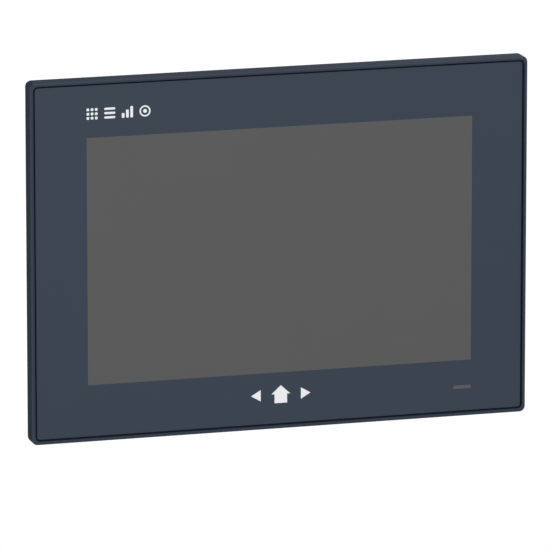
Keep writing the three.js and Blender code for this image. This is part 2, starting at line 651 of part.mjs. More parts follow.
// Captive screw on its washer. The face that it screws down on is at y = 0.
function captiveScrew(name) {
  const seat = KNOB.washer + 2 * FIT;
  const collarLength = 1;
  const knobTo = seat + collarLength - BED + KNOB.length;
  const washer = cut(rod(3.4, KNOB.washer, 'y', 0, FIT), rod(M4.hole, 3, 'y', 0, -CUT));
  const collar = rod(2.9, collarLength, 'y', 0, seat);
  const knob = milledDisc(KNOB.radius, KNOB.length, KNOB.teeth, knobTo - KNOB.length);
  const shank = rod(M4.shank, KNOB.reach + seat + BED, 'y', 0, -KNOB.reach, 0, 10);
  const slot = block(6.4, 0.9, 1 + CUT, 0, knobTo - 1);
  return [
    piece(`${name}_washer`, washer, 'zincSteel'),
    piece(name, cut(join(collar, knob, shank), slot), 'steel'),
  ];
}

const doorScrew = grouped(captiveScrew('door_thumbscrew'), 0, DOOR_BACK, DOOR_SCREW_Z);

// ---- Drive ----------------------------------------------------------------------------------------------

// Fixed channel on legs over the main board. The drive tray runs in it.
function driveGuide() {
  const floorThickness = 1;
  const from = DRIVE.x - 3;
  const length = SIDE - SHEET - SLIDE - from;
  const y = DRIVE.y - DRIVE_TRAY.floor - 2 * SLIDE - floorThickness;
  const legLength = y - BOARD_TOP - FIT;
  const railZ = DRIVE_TRAY.halfWidth + SLIDE + 0.5;
  const floor = block(length, 2 * railZ + 1, floorThickness);
  const rails = [-railZ, railZ].map((z) => block(length, 1, 9, 0, floorThickness - BED, z));
  const legPlaces = [-42, 42].flatMap((x) => [[x, -30], [x, 30]]);
  const legs = legPlaces.map(([x, z]) => rod(2.2, legLength + BED, 'y', x, -legLength, z, 8));
  const window = slab(60, 40, 4, floorThickness + 2 * CUT, 0, -CUT);
  const guide = cut(join(floor, ...rails, ...legs), window);
  return piece('drive_guide', guide, 'zincSteel', from + length / 2, y, DRIVE.z);
}

// Carrier for the drive. Its end plate lies against the side of the box and has a bent pull tab.
function driveTray() {
  const { bottom, top, thickness, front, back } = END_PLATE;
  const floorY = -DRIVE_TRAY.floor - BED;
  const plateX = SIDE + SLIDE + thickness / 2;
  const length = plateX - DRIVE.x + 1;
  const middle = plateX - length / 2;
  const floor = block(length, 2 * DRIVE_TRAY.halfWidth, DRIVE_TRAY.floor, middle, floorY);
  const lipZ = DRIVE_TRAY.halfWidth - 0.5;
  const lips = [-lipZ, lipZ].map((z) => block(length, 1, DRIVE_TRAY.lip, middle, floorY, z));
  const plate = block(thickness, top - bottom, back - front, plateX, front, (top + bottom) / 2);
  const tab = cut(
    join(block(9, 20, 1.4, plateX + 4, 2.8), block(1.4, 20, 4, plateX + 8, 1.5)),
    block(3, 12, 4, plateX + 4.4, 1.5),
  );
  const screwHole = rod(M4.hole, 4, 'x', SIDE - CUT, DRIVE_SCREW.y, DRIVE_SCREW.z);
  const tray = cut(join(floor, ...lips, plate, tab), screwHole);
  return piece('drive_tray', tray, 'zincSteel', 0, DRIVE.y, DRIVE.z);
}

function solidStateDrive() {
  const outline = { width: DRIVE.length, height: DRIVE.width, radius: 2, chamfer: 0.6 };
  const shell = chamferedSlab(outline, DRIVE.height, 0, 1);
  return piece('solid_state_drive', shell, 'anodised', DRIVE.x + DRIVE.length / 2, DRIVE.y, DRIVE.z);
}

const driveScrewX = SIDE + SLIDE + END_PLATE.thickness;
const driveScrewY = DRIVE.y + DRIVE_SCREW.y;
const driveScrewZ = DRIVE.z + DRIVE_SCREW.z;
const driveScrew = grouped(captiveScrew('drive_thumbscrew'), driveScrewX, driveScrewY, driveScrewZ);
driveScrew.rotation.z = -Math.PI / 2;

// ---- Connectors. Their mouths look down through the underside. --------------------------------------------

const MOUTH = UNDERSIDE - 0.6;
const OFF_BOARD = 0.2; // the shells stand clear of the board
const WAYS = spread(3, 5.08); // the three ways of the power connector

function dcPowerHeader() {
  const shell = cut(block(21.8, 12, 11.8, 0, OFF_BOARD, 6), block(19.6, 10, 9.2, 0, 1.5, 4));
  const pins = WAYS.map((x) => rod(0.6, 8, 'z', x, 6, 1.9, 8));
  return piece('dc_power_header', join(shell, ...pins), 'greenPlastic', PORT_X.power, BOARD_TOP, MOUTH);
}

const PLUG = { width: 19.2, depth: 8.8, tongue: 8, height: 15, y: 1.7, gap: 0.2 };
const WIRE_SCREW = { radius: 1.7, length: 2.4, y: 9.8, z: -7 };

function dcPowerPlug() {
  const bodyWidth = PLUG.width + 1.4;
  const tongue = block(PLUG.width, PLUG.tongue, PLUG.depth, 0, PLUG.y, PLUG.tongue / 2);
  const body = block(bodyWidth, PLUG.height, PLUG.depth + 3, 0, PLUG.y - 0.6, BED - PLUG.height / 2);
  const screwHole = WIRE_SCREW.radius + SLIDE;
  const holes = WAYS.flatMap((x) => [
    rod(0.95, 9, 'z', x, 6, -0.6, 8),
    block(3.4, 6, 4, x, 4.6, 2.4 - PLUG.height),
    rod(screwHole, 5, 'y', x, WIRE_SCREW.y - SLIDE, WIRE_SCREW.z),
  ]);
  const grips = spread(4, 1.6, -9).map((z) => block(bodyWidth + 2 * CUT, 0.6, 0.8, 0, PLUG.y - 1, z));
  const plug = cut(join(tongue, body), ...holes, ...grips);
  return piece('dc_power_plug', plug, 'greenPlastic', PORT_X.power, BOARD_TOP, MOUTH - PLUG.gap);
}

function wireScrews() {
  const { radius, length } = WIRE_SCREW;
  const screw = cut(rod(radius, length, 'y'), block(4, 0.7, 1 + CUT, 0, length - 0.8));
  const y = BOARD_TOP + WIRE_SCREW.y;
  const z = MOUTH - PLUG.gap + WIRE_SCREW.z;
  return WAYS.map((x, i) => piece(`wire_screw_${i + 1}`, screw, 'steel', PORT_X.power + x, y, z));
}

// Nine-way D connector: a flange, a D-shaped shell with its pins, and a hexagonal post at each side.
function serialPort() {
  const middle = 6.4;
  const dShape = (inset, length, z) => {
    const [wide, narrow, half] = [8.7 - inset, 7.6 - inset, 4.2 - inset];
    const corners = [[-wide, half], [-narrow, -half], [narrow, -half], [wide, half]];
    const shape = new THREE.Shape(corners.map(([x, y]) => new THREE.Vector2(x, y)));
    const geometry = new THREE.ExtrudeGeometry(shape, { depth: length, bevelEnabled: false });
    return solidOf(geometry.translate(0, middle, z));
  };
  const shell = cut(dShape(0, 9, -6), dShape(0.6, 6, -7));
  const flange = block(30.8, 1, 12.4, 0, OFF_BOARD, -0.5);
  const body = block(17.4, 10, 11.6, 0, middle - 5.8, 7);
  const rows = [[5, 1.4], [4, -1.4]];
  const contacts = rows.flatMap(([count, y]) => {
    return spread(count, 2.77).map((x) => rod(0.5, 4.6, 'z', x, middle + y, -5.2, 6));
  });
  const posts = [-12.5, 12.5].map((x) => {
    return cut(rod(2.9, 5.6, 'z', x, middle, -6.2, 6), rod(1.3, 5, 'z', x, middle, -7.2, 8));
  });
  const port = join(shell, flange, body, ...contacts, ...posts);
  return piece('serial_port', port, 'zincSteel', PORT_X.serial, BOARD_TOP, UNDERSIDE - FIT);
}

function usbPortPair(name, x) {
  const shell = block(13.2, 17, 15.6, 0, OFF_BOARD, 8.5);
  const mouths = [1.6, 8.7].map((y) => block(12, 10, 5.4, 0, y, 4));
  const tongues = [4.6, 11.7].map((y) => block(10.6, 9, 1.9, 0, y, 5.2));
  return piece(name, join(cut(shell, ...mouths), ...tongues), 'steel', x, BOARD_TOP, MOUTH);
}

function ethernetPort(name, x) {
  const shell = block(16, 18, 13.4, 0, OFF_BOARD, 9);
  const mouth = block(11.9, 11, 8.4, 0, 1.8, 4.4);
  const latchSlot = block(6.2, 11, 2.6, 0, 10, 4.4);
  const contacts = spread(8, 1.1).map((offset) => block(0.6, 7, 0.8, offset, 1.6, 6.6));
  return piece(name, join(cut(shell, mouth, latchSlot), ...contacts), 'steel', x, BOARD_TOP, MOUTH);
}

function videoPort() {
  const shell = cut(block(16.8, 15, 5.6, 0, OFF_BOARD, 7.5), block(15.4, 8, 4.2, 0, 0.9, 3));
  const tongue = block(13, 7.4, 1.2, 0, 2.6, 3.9);
  return piece('video_port', join(shell, tongue), 'steel', PORT_X.video, BOARD_TOP, MOUTH);
}

function powerButton() {
  const cap = rod(BUTTON.radius, 3.2, 'z', 0, 0, -1.4, 20);
  const skirt = rod(BUTTON.radius + 1, 1, 'z', 0, 0, 1.6, 20);
  const stem = rod(1.5, 4.2, 'z', 0, 0, 2.4, 8);
  return piece('power_button', join(cap, skirt, stem), 'blackPlastic', PORT_X.button, BUTTON.y, UNDERSIDE);
}

function groundTerminal() {
  const [washerLength, nutLength] = [0.9, 3.2];
  const stud = join(rod(M4.shank, 12.8, 'z', 0, 0, -9.6), rod(3.4, 2, 'z', 0, 0, SHEET + FIT));
  const washer = cut(rod(4.4, washerLength, 'z', 0, 0, 0, 16), rod(M4.hole, 3, 'z', 0, 0, -CUT));
  const nut = cut(rod(4.05, nutLength, 'z', 0, 0, 0, 6), rod(M4.hole, 6, 'z', 0, 0, -CUT));
  const washerZ = UNDERSIDE - FIT - washerLength;
  const nutZ = washerZ - FIT - nutLength;
  return [
    piece('ground_stud', stud, 'steel', PORT_X.ground, GROUND_Y, UNDERSIDE),
    piece('ground_washer', washer, 'zincSteel', PORT_X.ground, GROUND_Y, washerZ),
    piece('ground_nut', nut, 'zincSteel', PORT_X.ground, GROUND_Y, nutZ),
  ];
}

const computerBoxParts = [
  boxChassis(),
  mainBoard(),
  thermalBlock(),
  memoryModule(),
  coinCell(),
  heatSink(),
  ...heatSinkScrews(),
  serviceDoor(),
  doorHingePin(),
  doorScrew,
  driveGuide(),
  driveTray(),
  solidStateDrive(),
  driveScrew,
  dcPowerHeader(),
  dcPowerPlug(),
  ...wireScrews(),
  serialPort(),
  usbPortPair('usb_port_pair_1', PORT_X.usb1),
  usbPortPair('usb_port_pair_2', PORT_X.usb2),
  ethernetPort('ethernet_port_1', PORT_X.lan1),
  ethernetPort('ethernet_port_2', PORT_X.lan2),
  videoPort(),
  powerButton(),
  ...groundTerminal(),
];
const computerBox = grouped(computerBoxParts, 0, BOX.front);

// ---------------------------------------------------------------------------------------------------------
// Screw clamps. z = 0 is the outside of the tray's wall and z runs out of it; y is the whole panel's.
// ---------------------------------------------------------------------------------------------------------

// Two hooks under the base reach through the slots of the tray and bear on its wall. The ear takes the screw.
function clampBody(name) {
  const { width, front, earFront, back, screwHeight } = CLAMP;
  const baseThickness = 1.8;
  const earHeight = screwHeight + 3.4;
  const base = block(width, baseThickness, back - front, 0, front, FIT + baseThickness / 2);
  const ear = block(13, earHeight, back - earFront, 0, earFront, FIT + earHeight / 2);
  const gussetFoot = FIT + baseThickness - BED;
  const gussetBack = earFront + BED;
  const gusset = [[front + 1, gussetFoot], [gussetBack, gussetFoot], [gussetBack, 6.5]];
  const gussets = [-5.7, 5.7].map((x) => widened(gusset, 1.6, x));
  const neckFront = CLAMP_SLOT.front + CLAMP_SLOT.length - FIT - HOOK.neck;
  const hooks = [-HOOK.x, HOOK.x].flatMap((x) => [
    block(HOOK.width, SHEET + 0.8, HOOK.neck, x, neckFront, -SHEET / 2),
    block(HOOK.width, SHEET, HOOK.neck + HOOK.toe, x, neckFront, -1.5 * SHEET - FIT),
  ]);
  const screwHole = rod(M4.hole, back - earFront + 2 * CUT, 'y', 0, earFront - CUT, screwHeight);
  return piece(name, cut(join(base, ear, ...gussets, ...hooks), screwHole), 'zincSteel');
}

// Foot that presses on the back of the cabinet door. The tip of the screw turns inside it.
function clampFoot(name) {
  const disc = 1.6;
  const boss = rod(FOOT.radius, FOOT.length - disc + BED, 'y', 0, disc - BED, 0, 12, 2.5);
  const socket = rod(1.6, FOOT.length, 'y', 0, 1.2, 0, 10);
  const foot = cut(join(rod(FOOT.radius, disc, 'y'), boss), socket);
  return piece(name, foot, 'blackPlastic', 0, FOOT.tip, CLAMP.screwHeight);
}

function clampScrew(name) {
  const shankFrom = FOOT.length + FIT;
  const headFrom = shankFrom + CLAMP_SCREW.shankLength;
  const headTo = headFrom + CLAMP_SCREW.headLength;
  const tip = rod(1.3, shankFrom - 1.3 + BED, 'y', 0, 1.3, 0, 8);
  const shank = rod(M4.shank, CLAMP_SCREW.shankLength, 'y', 0, shankFrom, 0);
  const head = rod(CLAMP_SCREW.head, CLAMP_SCREW.headLength + BED, 'y', 0, headFrom - BED, 0, 16, 2.7);
  const screw = cut(join(tip, shank, head), crossRecess(3.8, 1.8, headTo));
  return piece(name, screw, 'steel', 0, FOOT.tip, CLAMP.screwHeight);
}

// The two lower clamps are the upper ones turned half round.
const clampPlaces = [[-CLAMP.x, 1], [CLAMP.x, 1], [-CLAMP.x, -1], [CLAMP.x, -1]];
const clamps = clampPlaces.map(([x, up], i) => {
  const number = i + 1;
  const meshes = [
    clampBody(`clamp_body_${number}`),
    clampFoot(`clamp_foot_${number}`),
    clampScrew(`clamp_screw_${number}`),
  ];
  const clamp = grouped(meshes, x, 0, (up * TRAY.height) / 2);
  if (up < 0) clamp.rotation.y = Math.PI;
  return clamp;
});

const touchPanel = new THREE.Group();
touchPanel.add(frontModule, computerBox, ...clamps);

export default touchPanel;
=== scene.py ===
import json
from math import cos, hypot, pi, radians, sin
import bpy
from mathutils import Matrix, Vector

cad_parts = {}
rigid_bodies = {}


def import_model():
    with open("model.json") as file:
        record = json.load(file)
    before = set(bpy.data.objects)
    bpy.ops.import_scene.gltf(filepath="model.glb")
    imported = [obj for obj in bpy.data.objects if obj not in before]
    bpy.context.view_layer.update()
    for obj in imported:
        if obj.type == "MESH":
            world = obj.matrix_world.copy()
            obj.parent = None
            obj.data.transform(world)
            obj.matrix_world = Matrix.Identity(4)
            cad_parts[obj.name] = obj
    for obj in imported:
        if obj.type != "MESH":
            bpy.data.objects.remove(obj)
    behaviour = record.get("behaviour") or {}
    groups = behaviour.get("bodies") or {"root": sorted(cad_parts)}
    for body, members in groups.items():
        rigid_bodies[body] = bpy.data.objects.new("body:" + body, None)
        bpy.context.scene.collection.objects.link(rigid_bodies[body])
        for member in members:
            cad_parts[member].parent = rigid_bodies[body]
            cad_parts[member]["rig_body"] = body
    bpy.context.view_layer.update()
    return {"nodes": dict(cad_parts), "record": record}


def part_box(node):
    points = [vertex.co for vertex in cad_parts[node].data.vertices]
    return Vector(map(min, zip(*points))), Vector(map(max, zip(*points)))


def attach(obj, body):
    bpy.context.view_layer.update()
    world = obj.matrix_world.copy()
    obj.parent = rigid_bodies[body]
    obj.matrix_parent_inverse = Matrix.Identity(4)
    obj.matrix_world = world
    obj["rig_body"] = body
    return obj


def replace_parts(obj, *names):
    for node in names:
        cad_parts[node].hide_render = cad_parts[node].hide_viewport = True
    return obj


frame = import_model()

from types import SimpleNamespace as Sizes

import bmesh
import bpy
from mathutils import Matrix, Vector

# Shapes are drawn in millimetres and scaled to metres at the end. +X is to the right and +Z is up for
# somebody who faces the screen, and +Y runs into the cabinet. The glass's front surface is y = 0.
MM = 0.001
MICRON = 0.000001
CORNER_STEPS = 6  # segments in a rounded corner
ROUND_STEPS = 32  # segments in a full circle
SMOOTH_UNDER = radians(32)  # edges flatter than this are shaded smooth

# ---- Sizes shared with the CAD model ----

BEZEL = Sizes(width=282.5, height=201.0, radius=3.2, chamfer=0.85)
RIM_FRONT = -0.8
SEAL_PLANE = 9.7
POCKET = Sizes(width=278.6, height=197.1, radius=2.6, floor=2.6)
GLASS = Sizes(width=277.0, height=195.5, radius=1.8, chamfer=0.3, back=2.0)
WINDOW = Sizes(width=219.0, height=137.6, radius=0.4)
OPENING = (233.0, 153.0, 2.0)
LIGHT = Sizes(width=10.0, height=1.9, x=104.5, z=-83.3, window_z=-84.1)

TRAY = Sizes(width=254.0, height=172.0, radius=2.0, front=9.8, back=27.7, sheet=1.2)
BOX = Sizes(width=232.0, height=156.0, radius=1.6, front=28.0, back=51.7, sheet=1.2)
BOARD_TOP = 32.3
UNDERSIDE = -78.0
MOUTH = -78.6  # lowest point of the connector shells
CABLE_HOLE = Sizes(width=24, height=8, radius=1, z=30)  # in the tray, the box and the main board

HINGE = Sizes(y=53.7, z=79.6, x=90.0, radius=2.2, pin=1.0, knuckle=12.6, ear=2.0)
DOOR = Sizes(bottom=18.0, top=76.6, front=51.9, back=53.4, screw_z=23.0)
DRIVE_SCREW = Sizes(x=117.8, y=42.5, z=-6.0)
DRIVE_Z = 38
SINK = Sizes(bottom=-78.0, top=17.0, front=51.8, base=3.0, back=63.7, pitch=8.5, fins=27)
SINK_SCREWS = [(x, z) for z in (-72.0, 11.0) for x in (-106.25, 106.25)]
PORT_X = Sizes(ground=84, power=66, button=46, serial=21, usb=(-9, -28), lan=(-47, -66), video=-86)
TERMINAL_Y = 38.8  # of the button and the ground stud
CLAMP_X = 100.0
FOOT_TIP = 13.2
SCREW_HEIGHT = 5.3  # of a clamp's screw over the tray's wall
SCREW_HOLE = 2.2  # radius, for the thumbscrews, the ground stud and the clamps' screws

# ---- Materials ----


def rgb(red, green, blue):
    """A colour given as screen values from 0 to 255, in Blender's linear terms."""
    linear = []
    for value in (red, green, blue):
        share = value / 255
        linear.append(share / 12.92 if share <= 0.04045 else ((share + 0.055) / 1.055) ** 2.4)
    return (*linear, 1.0)


def dimmed(colour, share):
    return (*(value * share for value in colour[:3]), 1.0)


class Look:
    """A Principled material, with short calls that add the nodes of its patterns."""

    def __init__(self, name):
        self.material = bpy.data.materials.new(name)
        self.material.use_nodes = True
        self.tree = self.material.node_tree
        self.shader = self.tree.nodes["Principled BSDF"]
        self.place = self.tree.nodes.new("ShaderNodeTexCoord").outputs["Object"]

    def feed(self, socket, value):
        if isinstance(value, bpy.types.NodeSocket):
            self.tree.links.new(value, socket)
        else:
            socket.default_value = value

    def node(self, kind, output, **inputs):
        """The output of a new node. Its inputs are given by name, with underscores for the spaces."""
        made = self.tree.nodes.new(f"ShaderNode{kind}")
        for name, value in inputs.items():
            self.feed(made.inputs[name.replace("_", " ")], value)
        return made.outputs[output]

    def noise(self, scale, detail=2.0, stretch=(1, 1, 1)):
        place = self.node("Mapping", "Vector", Vector=self.place, Scale=stretch)
        return self.node("TexNoise", "Fac", Vector=place, Scale=scale, Detail=detail)

    def cells(self, scale, output="Distance"):
        return self.node("TexVoronoi", output, Vector=self.place, Scale=scale)

    def stripes(self, scale, way):
        """Thin parallel lines across x or z: 1 on a line and 0 between lines."""
        wave = self.node("TexWave", "Fac", Vector=self.place, Scale=scale)
        wave.node.bands_direction = way
        return self.between(wave, start=0.62, end=0.8)

    def between(self, factor, low=0.0, high=1.0, start=0.3, end=0.7):
        """A number that goes from low to high as the factor goes from start to end."""
        return self.node("MapRange", "Result", Value=factor, From_Min=start, From_Max=end,
                         To_Min=low, To_Max=high)

    def mixed(self, factor, one, other):
        node = self.tree.nodes.new("ShaderNodeMix")
        node.data_type = "RGBA"
        self.feed(node.inputs[0], factor)
        self.feed(node.inputs[6], one)
        self.feed(node.inputs[7], other)
        return node.outputs[2]

    def base(self, metallic=0.0, specular=0.5):
        self.feed(self.shader.inputs["Metallic"], metallic)
        self.feed(self.shader.inputs["Specular IOR Level"], specular)

    def colour(self, value):
        self.feed(self.shader.inputs["Base Color"], value)

    def shades(self, factor, colour, low, high):
        """A colour that goes from a darker to a lighter shade as the factor grows."""
        self.colour(self.mixed(factor, dimmed(colour, low), dimmed(colour, high)))

    def roughness(self, factor, low, high):
        self.feed(self.shader.inputs["Roughness"], self.between(factor, low, high))

    def bump(self, height, depth, strength=0.5):
        """Relief of a given depth in micrometres."""
        relief = self.node("Bump", "Normal", Strength=strength, Distance=depth * MICRON, Height=height)
        self.feed(self.shader.inputs["Normal"], relief)

    def grained(self, colour, roughness, grain, depth, drift, patch=25.0, metallic=0.0, specular=0.5):
        """Colour that drifts over patches, and a fine grain in both roughness and relief."""
        fine = self.noise(grain)
        self.base(metallic, specular)
        self.shades(self.between(self.noise(patch, 3.0)), colour, 1 - drift, 1 + drift)
        self.roughness(fine, roughness - 0.05, roughness + 0.05)
        self.bump(fine, depth)


def bezel_paint(look):
    look.grained(rgb(54, 62, 75), 0.6, 1400, 5, 0.02, specular=0.015)


def bezel_edge_highlight(look):
    """The same paint made lighter along the front edges, as a painted highlight on the chamfer."""
    look.grained(rgb(64, 72, 85), 0.5, 1400, 5, 0.03, specular=0.06)


def printed_glass(look):
    look.grained(rgb(50, 60, 74), 0.46, 2600, 4, 0.012, specular=0.25)


def glass_edge(look):
    look.grained(rgb(16, 19, 25), 0.5, 1800, 4, 0.1, 60, specular=0.2)


def screen_window(look):
    look.grained(rgb(85, 85, 85), 0.44, 2600, 4, 0.01, specular=0.25)


def light_window(look):
    look.grained(rgb(86, 87, 87), 0.35, 2000, 4, 0.02, specular=0.3)


def white_print(look):
    look.grained(rgb(234, 236, 239), 0.6, 2400, 4, 0.02, specular=0.2)


def adhesive_tape(look):
    look.grained(rgb(26, 27, 29), 0.8, 900, 20, 0.1, specular=0.2)


def gasket_rubber(look):
    look.grained(rgb(30, 31, 33), 0.82, 1100, 40, 0.12, 60, specular=0.25)


def clear_plastic(look):
    look.grained(rgb(180, 184, 186), 0.22, 700, 5, 0.03)


def sensor_film(look):
    look.grained(rgb(150, 158, 164), 0.2, 500, 4, 0.03)


def screen_glass(look):
    look.grained(rgb(34, 36, 40), 0.25, 900, 4, 0.04)


def coated_steel(look):
    """Textured powder coat: rounded pebbles about half a millimetre across."""
    look.base(specular=0.42)
    look.shades(look.between(look.noise(18, 3.0)), rgb(66, 70, 76), 0.92, 1.06)
    look.roughness(look.noise(600), 0.52, 0.66)
    look.bump(look.cells(1700), 50, 0.6)


def zinc_steel(look):
    """Bright zinc plating: a faint crystal pattern and rolling lines."""
    look.base(metallic=1.0)
    crystals = look.between(look.cells(260, "Color"), start=0.2, end=0.8)
    look.shades(crystals, rgb(176, 180, 182), 0.9, 1.05)
    look.roughness(look.noise(420, 3.0, (1, 1, 6)), 0.3, 0.44)
    look.bump(look.noise(900, 2.0, (1, 1, 8)), 10, 0.4)


def machine_steel(look):
    """Nickel-plated turned steel."""
    look.base(metallic=1.0)
    fine = look.noise(2200)
    look.shades(look.between(look.noise(180)), rgb(188, 190, 192), 0.9, 1.04)
    look.roughness(fine, 0.22, 0.34)
    look.bump(fine, 8, 0.4)


def sink_aluminium(look):
    """Anodised extrusion, with die lines that run up and down the fins."""
    look.base(metallic=1.0)
    lines = look.noise(1500, 2.0, (1, 1, 0.02))
    look.shades(look.between(look.noise(22, 3.0)), rgb(176, 180, 184), 0.92, 1.05)
    look.roughness(lines, 0.34, 0.5)
    look.bump(lines, 12)


def drive_case(look):
    look.grained(rgb(62, 65, 70), 0.42, 1500, 10, 0.05, metallic=0.7)


def drive_label(look):
    """Plain paper label with a coloured band at one end."""
    look.base(specular=0.3)
    along = look.node("SeparateXYZ", "X", Vector=look.place)
    band = look.between(along, start=0.0780, end=0.0782)
    look.colour(look.mixed(band, rgb(206, 208, 208), rgb(64, 104, 150)))
    look.roughness(look.noise(900), 0.5, 0.62)
    look.bump(look.noise(1300), 6, 0.3)


def circuit_board(look):
    """Green solder mask over bundles of parallel traces, with bare dots for the vias."""
    upright = look.between(look.cells(70, "Color"), start=0.49, end=0.51)
    routed = look.between(look.noise(45), start=0.46, end=0.5)
    lines = look.mixed(upright, look.stripes(170, "X"), look.stripes(170, "Z"))
    traces = look.mixed(routed, (0, 0, 0, 1), lines)
    mask = look.mixed(look.between(look.noise(30, 3.0)), rgb(24, 76, 52), rgb(30, 86, 60))
    routing = look.mixed(traces, mask, rgb(50, 114, 80))
    dots = look.between(look.cells(240), 1.0, 0.0, 0.10, 0.14)
    look.colour(look.mixed(dots, routing, rgb(176, 158, 96)))
    look.roughness(look.noise(300), 0.32, 0.46)
    look.bump(traces, 30, 0.4)


def chip_plastic(look):
    look.grained(rgb(34, 35, 37), 0.6, 2200, 10, 0.08, 90, specular=0.4)


def gold_contact(look):
    look.grained(rgb(214, 178, 96), 0.28, 1500, 5, 0.05, 90, metallic=1.0)


def cell_steel(look):
    look.grained(rgb(196, 198, 200), 0.24, 1200, 6, 0.04, 60, metallic=1.0)


def port_shell(look):
    """Tin-plated sheet, with the rolling direction along the connector."""
    look.base(metallic=1.0)
    lines = look.noise(1800, 2.0, (1, 1, 0.08))
    look.shades(look.between(look.noise(130)), rgb(184, 186, 188), 0.9, 1.03)
    look.roughness(lines, 0.26, 0.4)
    look.bump(lines, 8, 0.4)


def black_plastic(look):
    look.grained(rgb(32, 33, 35), 0.55, 1700, 20, 0.08, 70, specular=0.4)


def green_plastic(look):
    look.grained(rgb(44, 122, 74), 0.48, 1500, 12, 0.06, 70, specular=0.45)


def flat_cable(look):
    look.grained(rgb(222, 220, 210), 0.4, 900, 10, 0.03, 120, specular=0.45)


def amber_lamp(look):
    look.grained(rgb(208, 150, 52), 0.3, 1500, 4, 0.05, 200)


def green_lamp(look):
    look.grained(rgb(104, 172, 84), 0.3, 1500, 4, 0.05, 200)


MAKERS = (
    bezel_paint, bezel_edge_highlight, printed_glass, glass_edge, screen_window, light_window, white_print,
    adhesive_tape, gasket_rubber, clear_plastic, sensor_film, screen_glass, coated_steel, zinc_steel,
    machine_steel, sink_aluminium, drive_case, drive_label, circuit_board, chip_plastic, gold_contact,
    cell_steel, port_shell, black_plastic, green_plastic, flat_cable, amber_lamp, green_lamp,
)
LOOKS = {}
for make in MAKERS:
    new_look = Look(make.__name__)
    make(new_look)
    LOOKS[make.__name__] = new_look.material

# The record's material slots whose finish has another name. The others share theirs.
OTHER_NAMES = {
    "adhesive": "adhesive_tape",
    "light_pipe": "clear_plastic",
    "lcd_black": "screen_glass",
    "backlight_metal": "sink_aluminium",
}
SLOT_OF_NODE = {part["node"]: part["material_slot"] for part in frame["record"]["subparts"]}


def look_of(node):
    slot_name = SLOT_OF_NODE[node]
    return OTHER_NAMES.get(slot_name, slot_name)


# ---- Outlines: lists of points in a plane, anticlockwise ----


def arc(u, v, radius, start, end, steps):
    turns = [radians(start + (end - start) * i / steps) for i in range(steps + 1)]
    return [(u + radius * cos(turn), v + radius * sin(turn)) for turn in turns]


def rounded(width, height, radius, u=0.0, v=0.0, steps=CORNER_STEPS):
    w, h = width / 2 - radius, height / 2 - radius
    corners = ((w, h, 0), (-w, h, 90), (-w, -h, 180), (w, -h, 270))
    return [p for cu, cv, turn in corners for p in arc(u + cu, v + cv, radius, turn, turn + 90, steps)]


def circle(radius, u=0.0, v=0.0, steps=ROUND_STEPS):
    return arc(u, v, radius, 0, 360, steps)[:-1]


def slot(width, height, u=0.0, v=0.0):
    """A slot with round ends."""
    return rounded(width, height, min(width, height) / 2 - 0.01, u, v, 5)


def inset(outline, distance):
    """The outline moved inwards."""
    moved_in = []
    for i, (u, v) in enumerate(outline):
        last, following = outline[i - 1], outline[(i + 1) % len(outline)]
        before = Vector((u - last[0], v - last[1])).normalized()
        after = Vector((following[0] - u, following[1] - v)).normalized()
        inwards = Vector((-before.y - after.y, before.x + after.x)).normalized()
        share = max(0.3, inwards.dot(Vector((-before.y, before.x))))
        moved_in.append((u + inwards.x * distance / share, v + inwards.y * distance / share))
    return moved_in


def spread(count, pitch, middle=0.0):
    """Evenly spaced values about a middle."""
    return [middle + (i - (count - 1) / 2) * pitch for i in range(count)]


# ---- Solids, drawn into a bmesh ----

# Where an outline's two directions and the third one lie, for a solid that runs along x, y or z.
PLACES = {
    "x": lambda u, v, w: (w, u, v),
    "y": lambda u, v, w: (u, w, v),
    "z": lambda u, v, w: (u, v, w),
}


def stacked(bm, layers, axis="y", closed=False, material=0):
    """Skin over outlines one behind the other. A closed skin joins its last outline to its first."""
    place = PLACES[axis]
    rings = [[bm.verts.new(place(u, v, w)) for u, v in outline] for outline, w in layers]
    pairs = list(zip(rings, rings[1:]))
    if closed:
        pairs.append((rings[-1], rings[0]))
    faces = []
    for low, high in pairs:
        for i in range(len(low)):
            faces.append(bm.faces.new((low[i - 1], low[i], high[i], high[i - 1])))
    if not closed:
        faces.append(bm.faces.new(rings[0][::-1]))
        faces.append(bm.faces.new(rings[-1]))
    for face in faces:
        face.material_index = material
    return faces


def prism(bm, outline, start, end, axis="y", edge=0.15, material=0, steps=2):
    """A solid of this outline. Its two rims are rounded off by edge, unless that is 0."""
    layers = [(outline, start), (outline, end)]
    if edge:
        turns = [radians(90 * i / steps) for i in range(steps + 1)]
        first = [(inset(outline, edge * (1 - sin(t))), start + edge * (1 - cos(t))) for t in turns]
        last = [(inset(outline, edge * (1 - cos(t))), end - edge * (1 - sin(t))) for t in turns]
        layers = first + last
    return stacked(bm, layers, axis, material=material)


def block(bm, low, high, edge=0.15, material=0):
    """A box between two corners, with rounded upright edges and rims."""
    (x0, y0, z0), (x1, y1, z1) = low, high
    corner = max(edge, 0.05)
    outline = rounded(x1 - x0, z1 - z0, corner, (x0 + x1) / 2, (z0 + z1) / 2, 2)
    return prism(bm, outline, y0, y1, "y", edge, material)


def turned(bm, profile, axis="y", u=0.0, v=0.0, material=0, closed=False, steps=ROUND_STEPS):
    """A turned solid. The profile lists radius and place along the axis."""
    layers = [(circle(radius, u, v, steps), w) for radius, w in profile]
    return stacked(bm, layers, axis, closed, material)


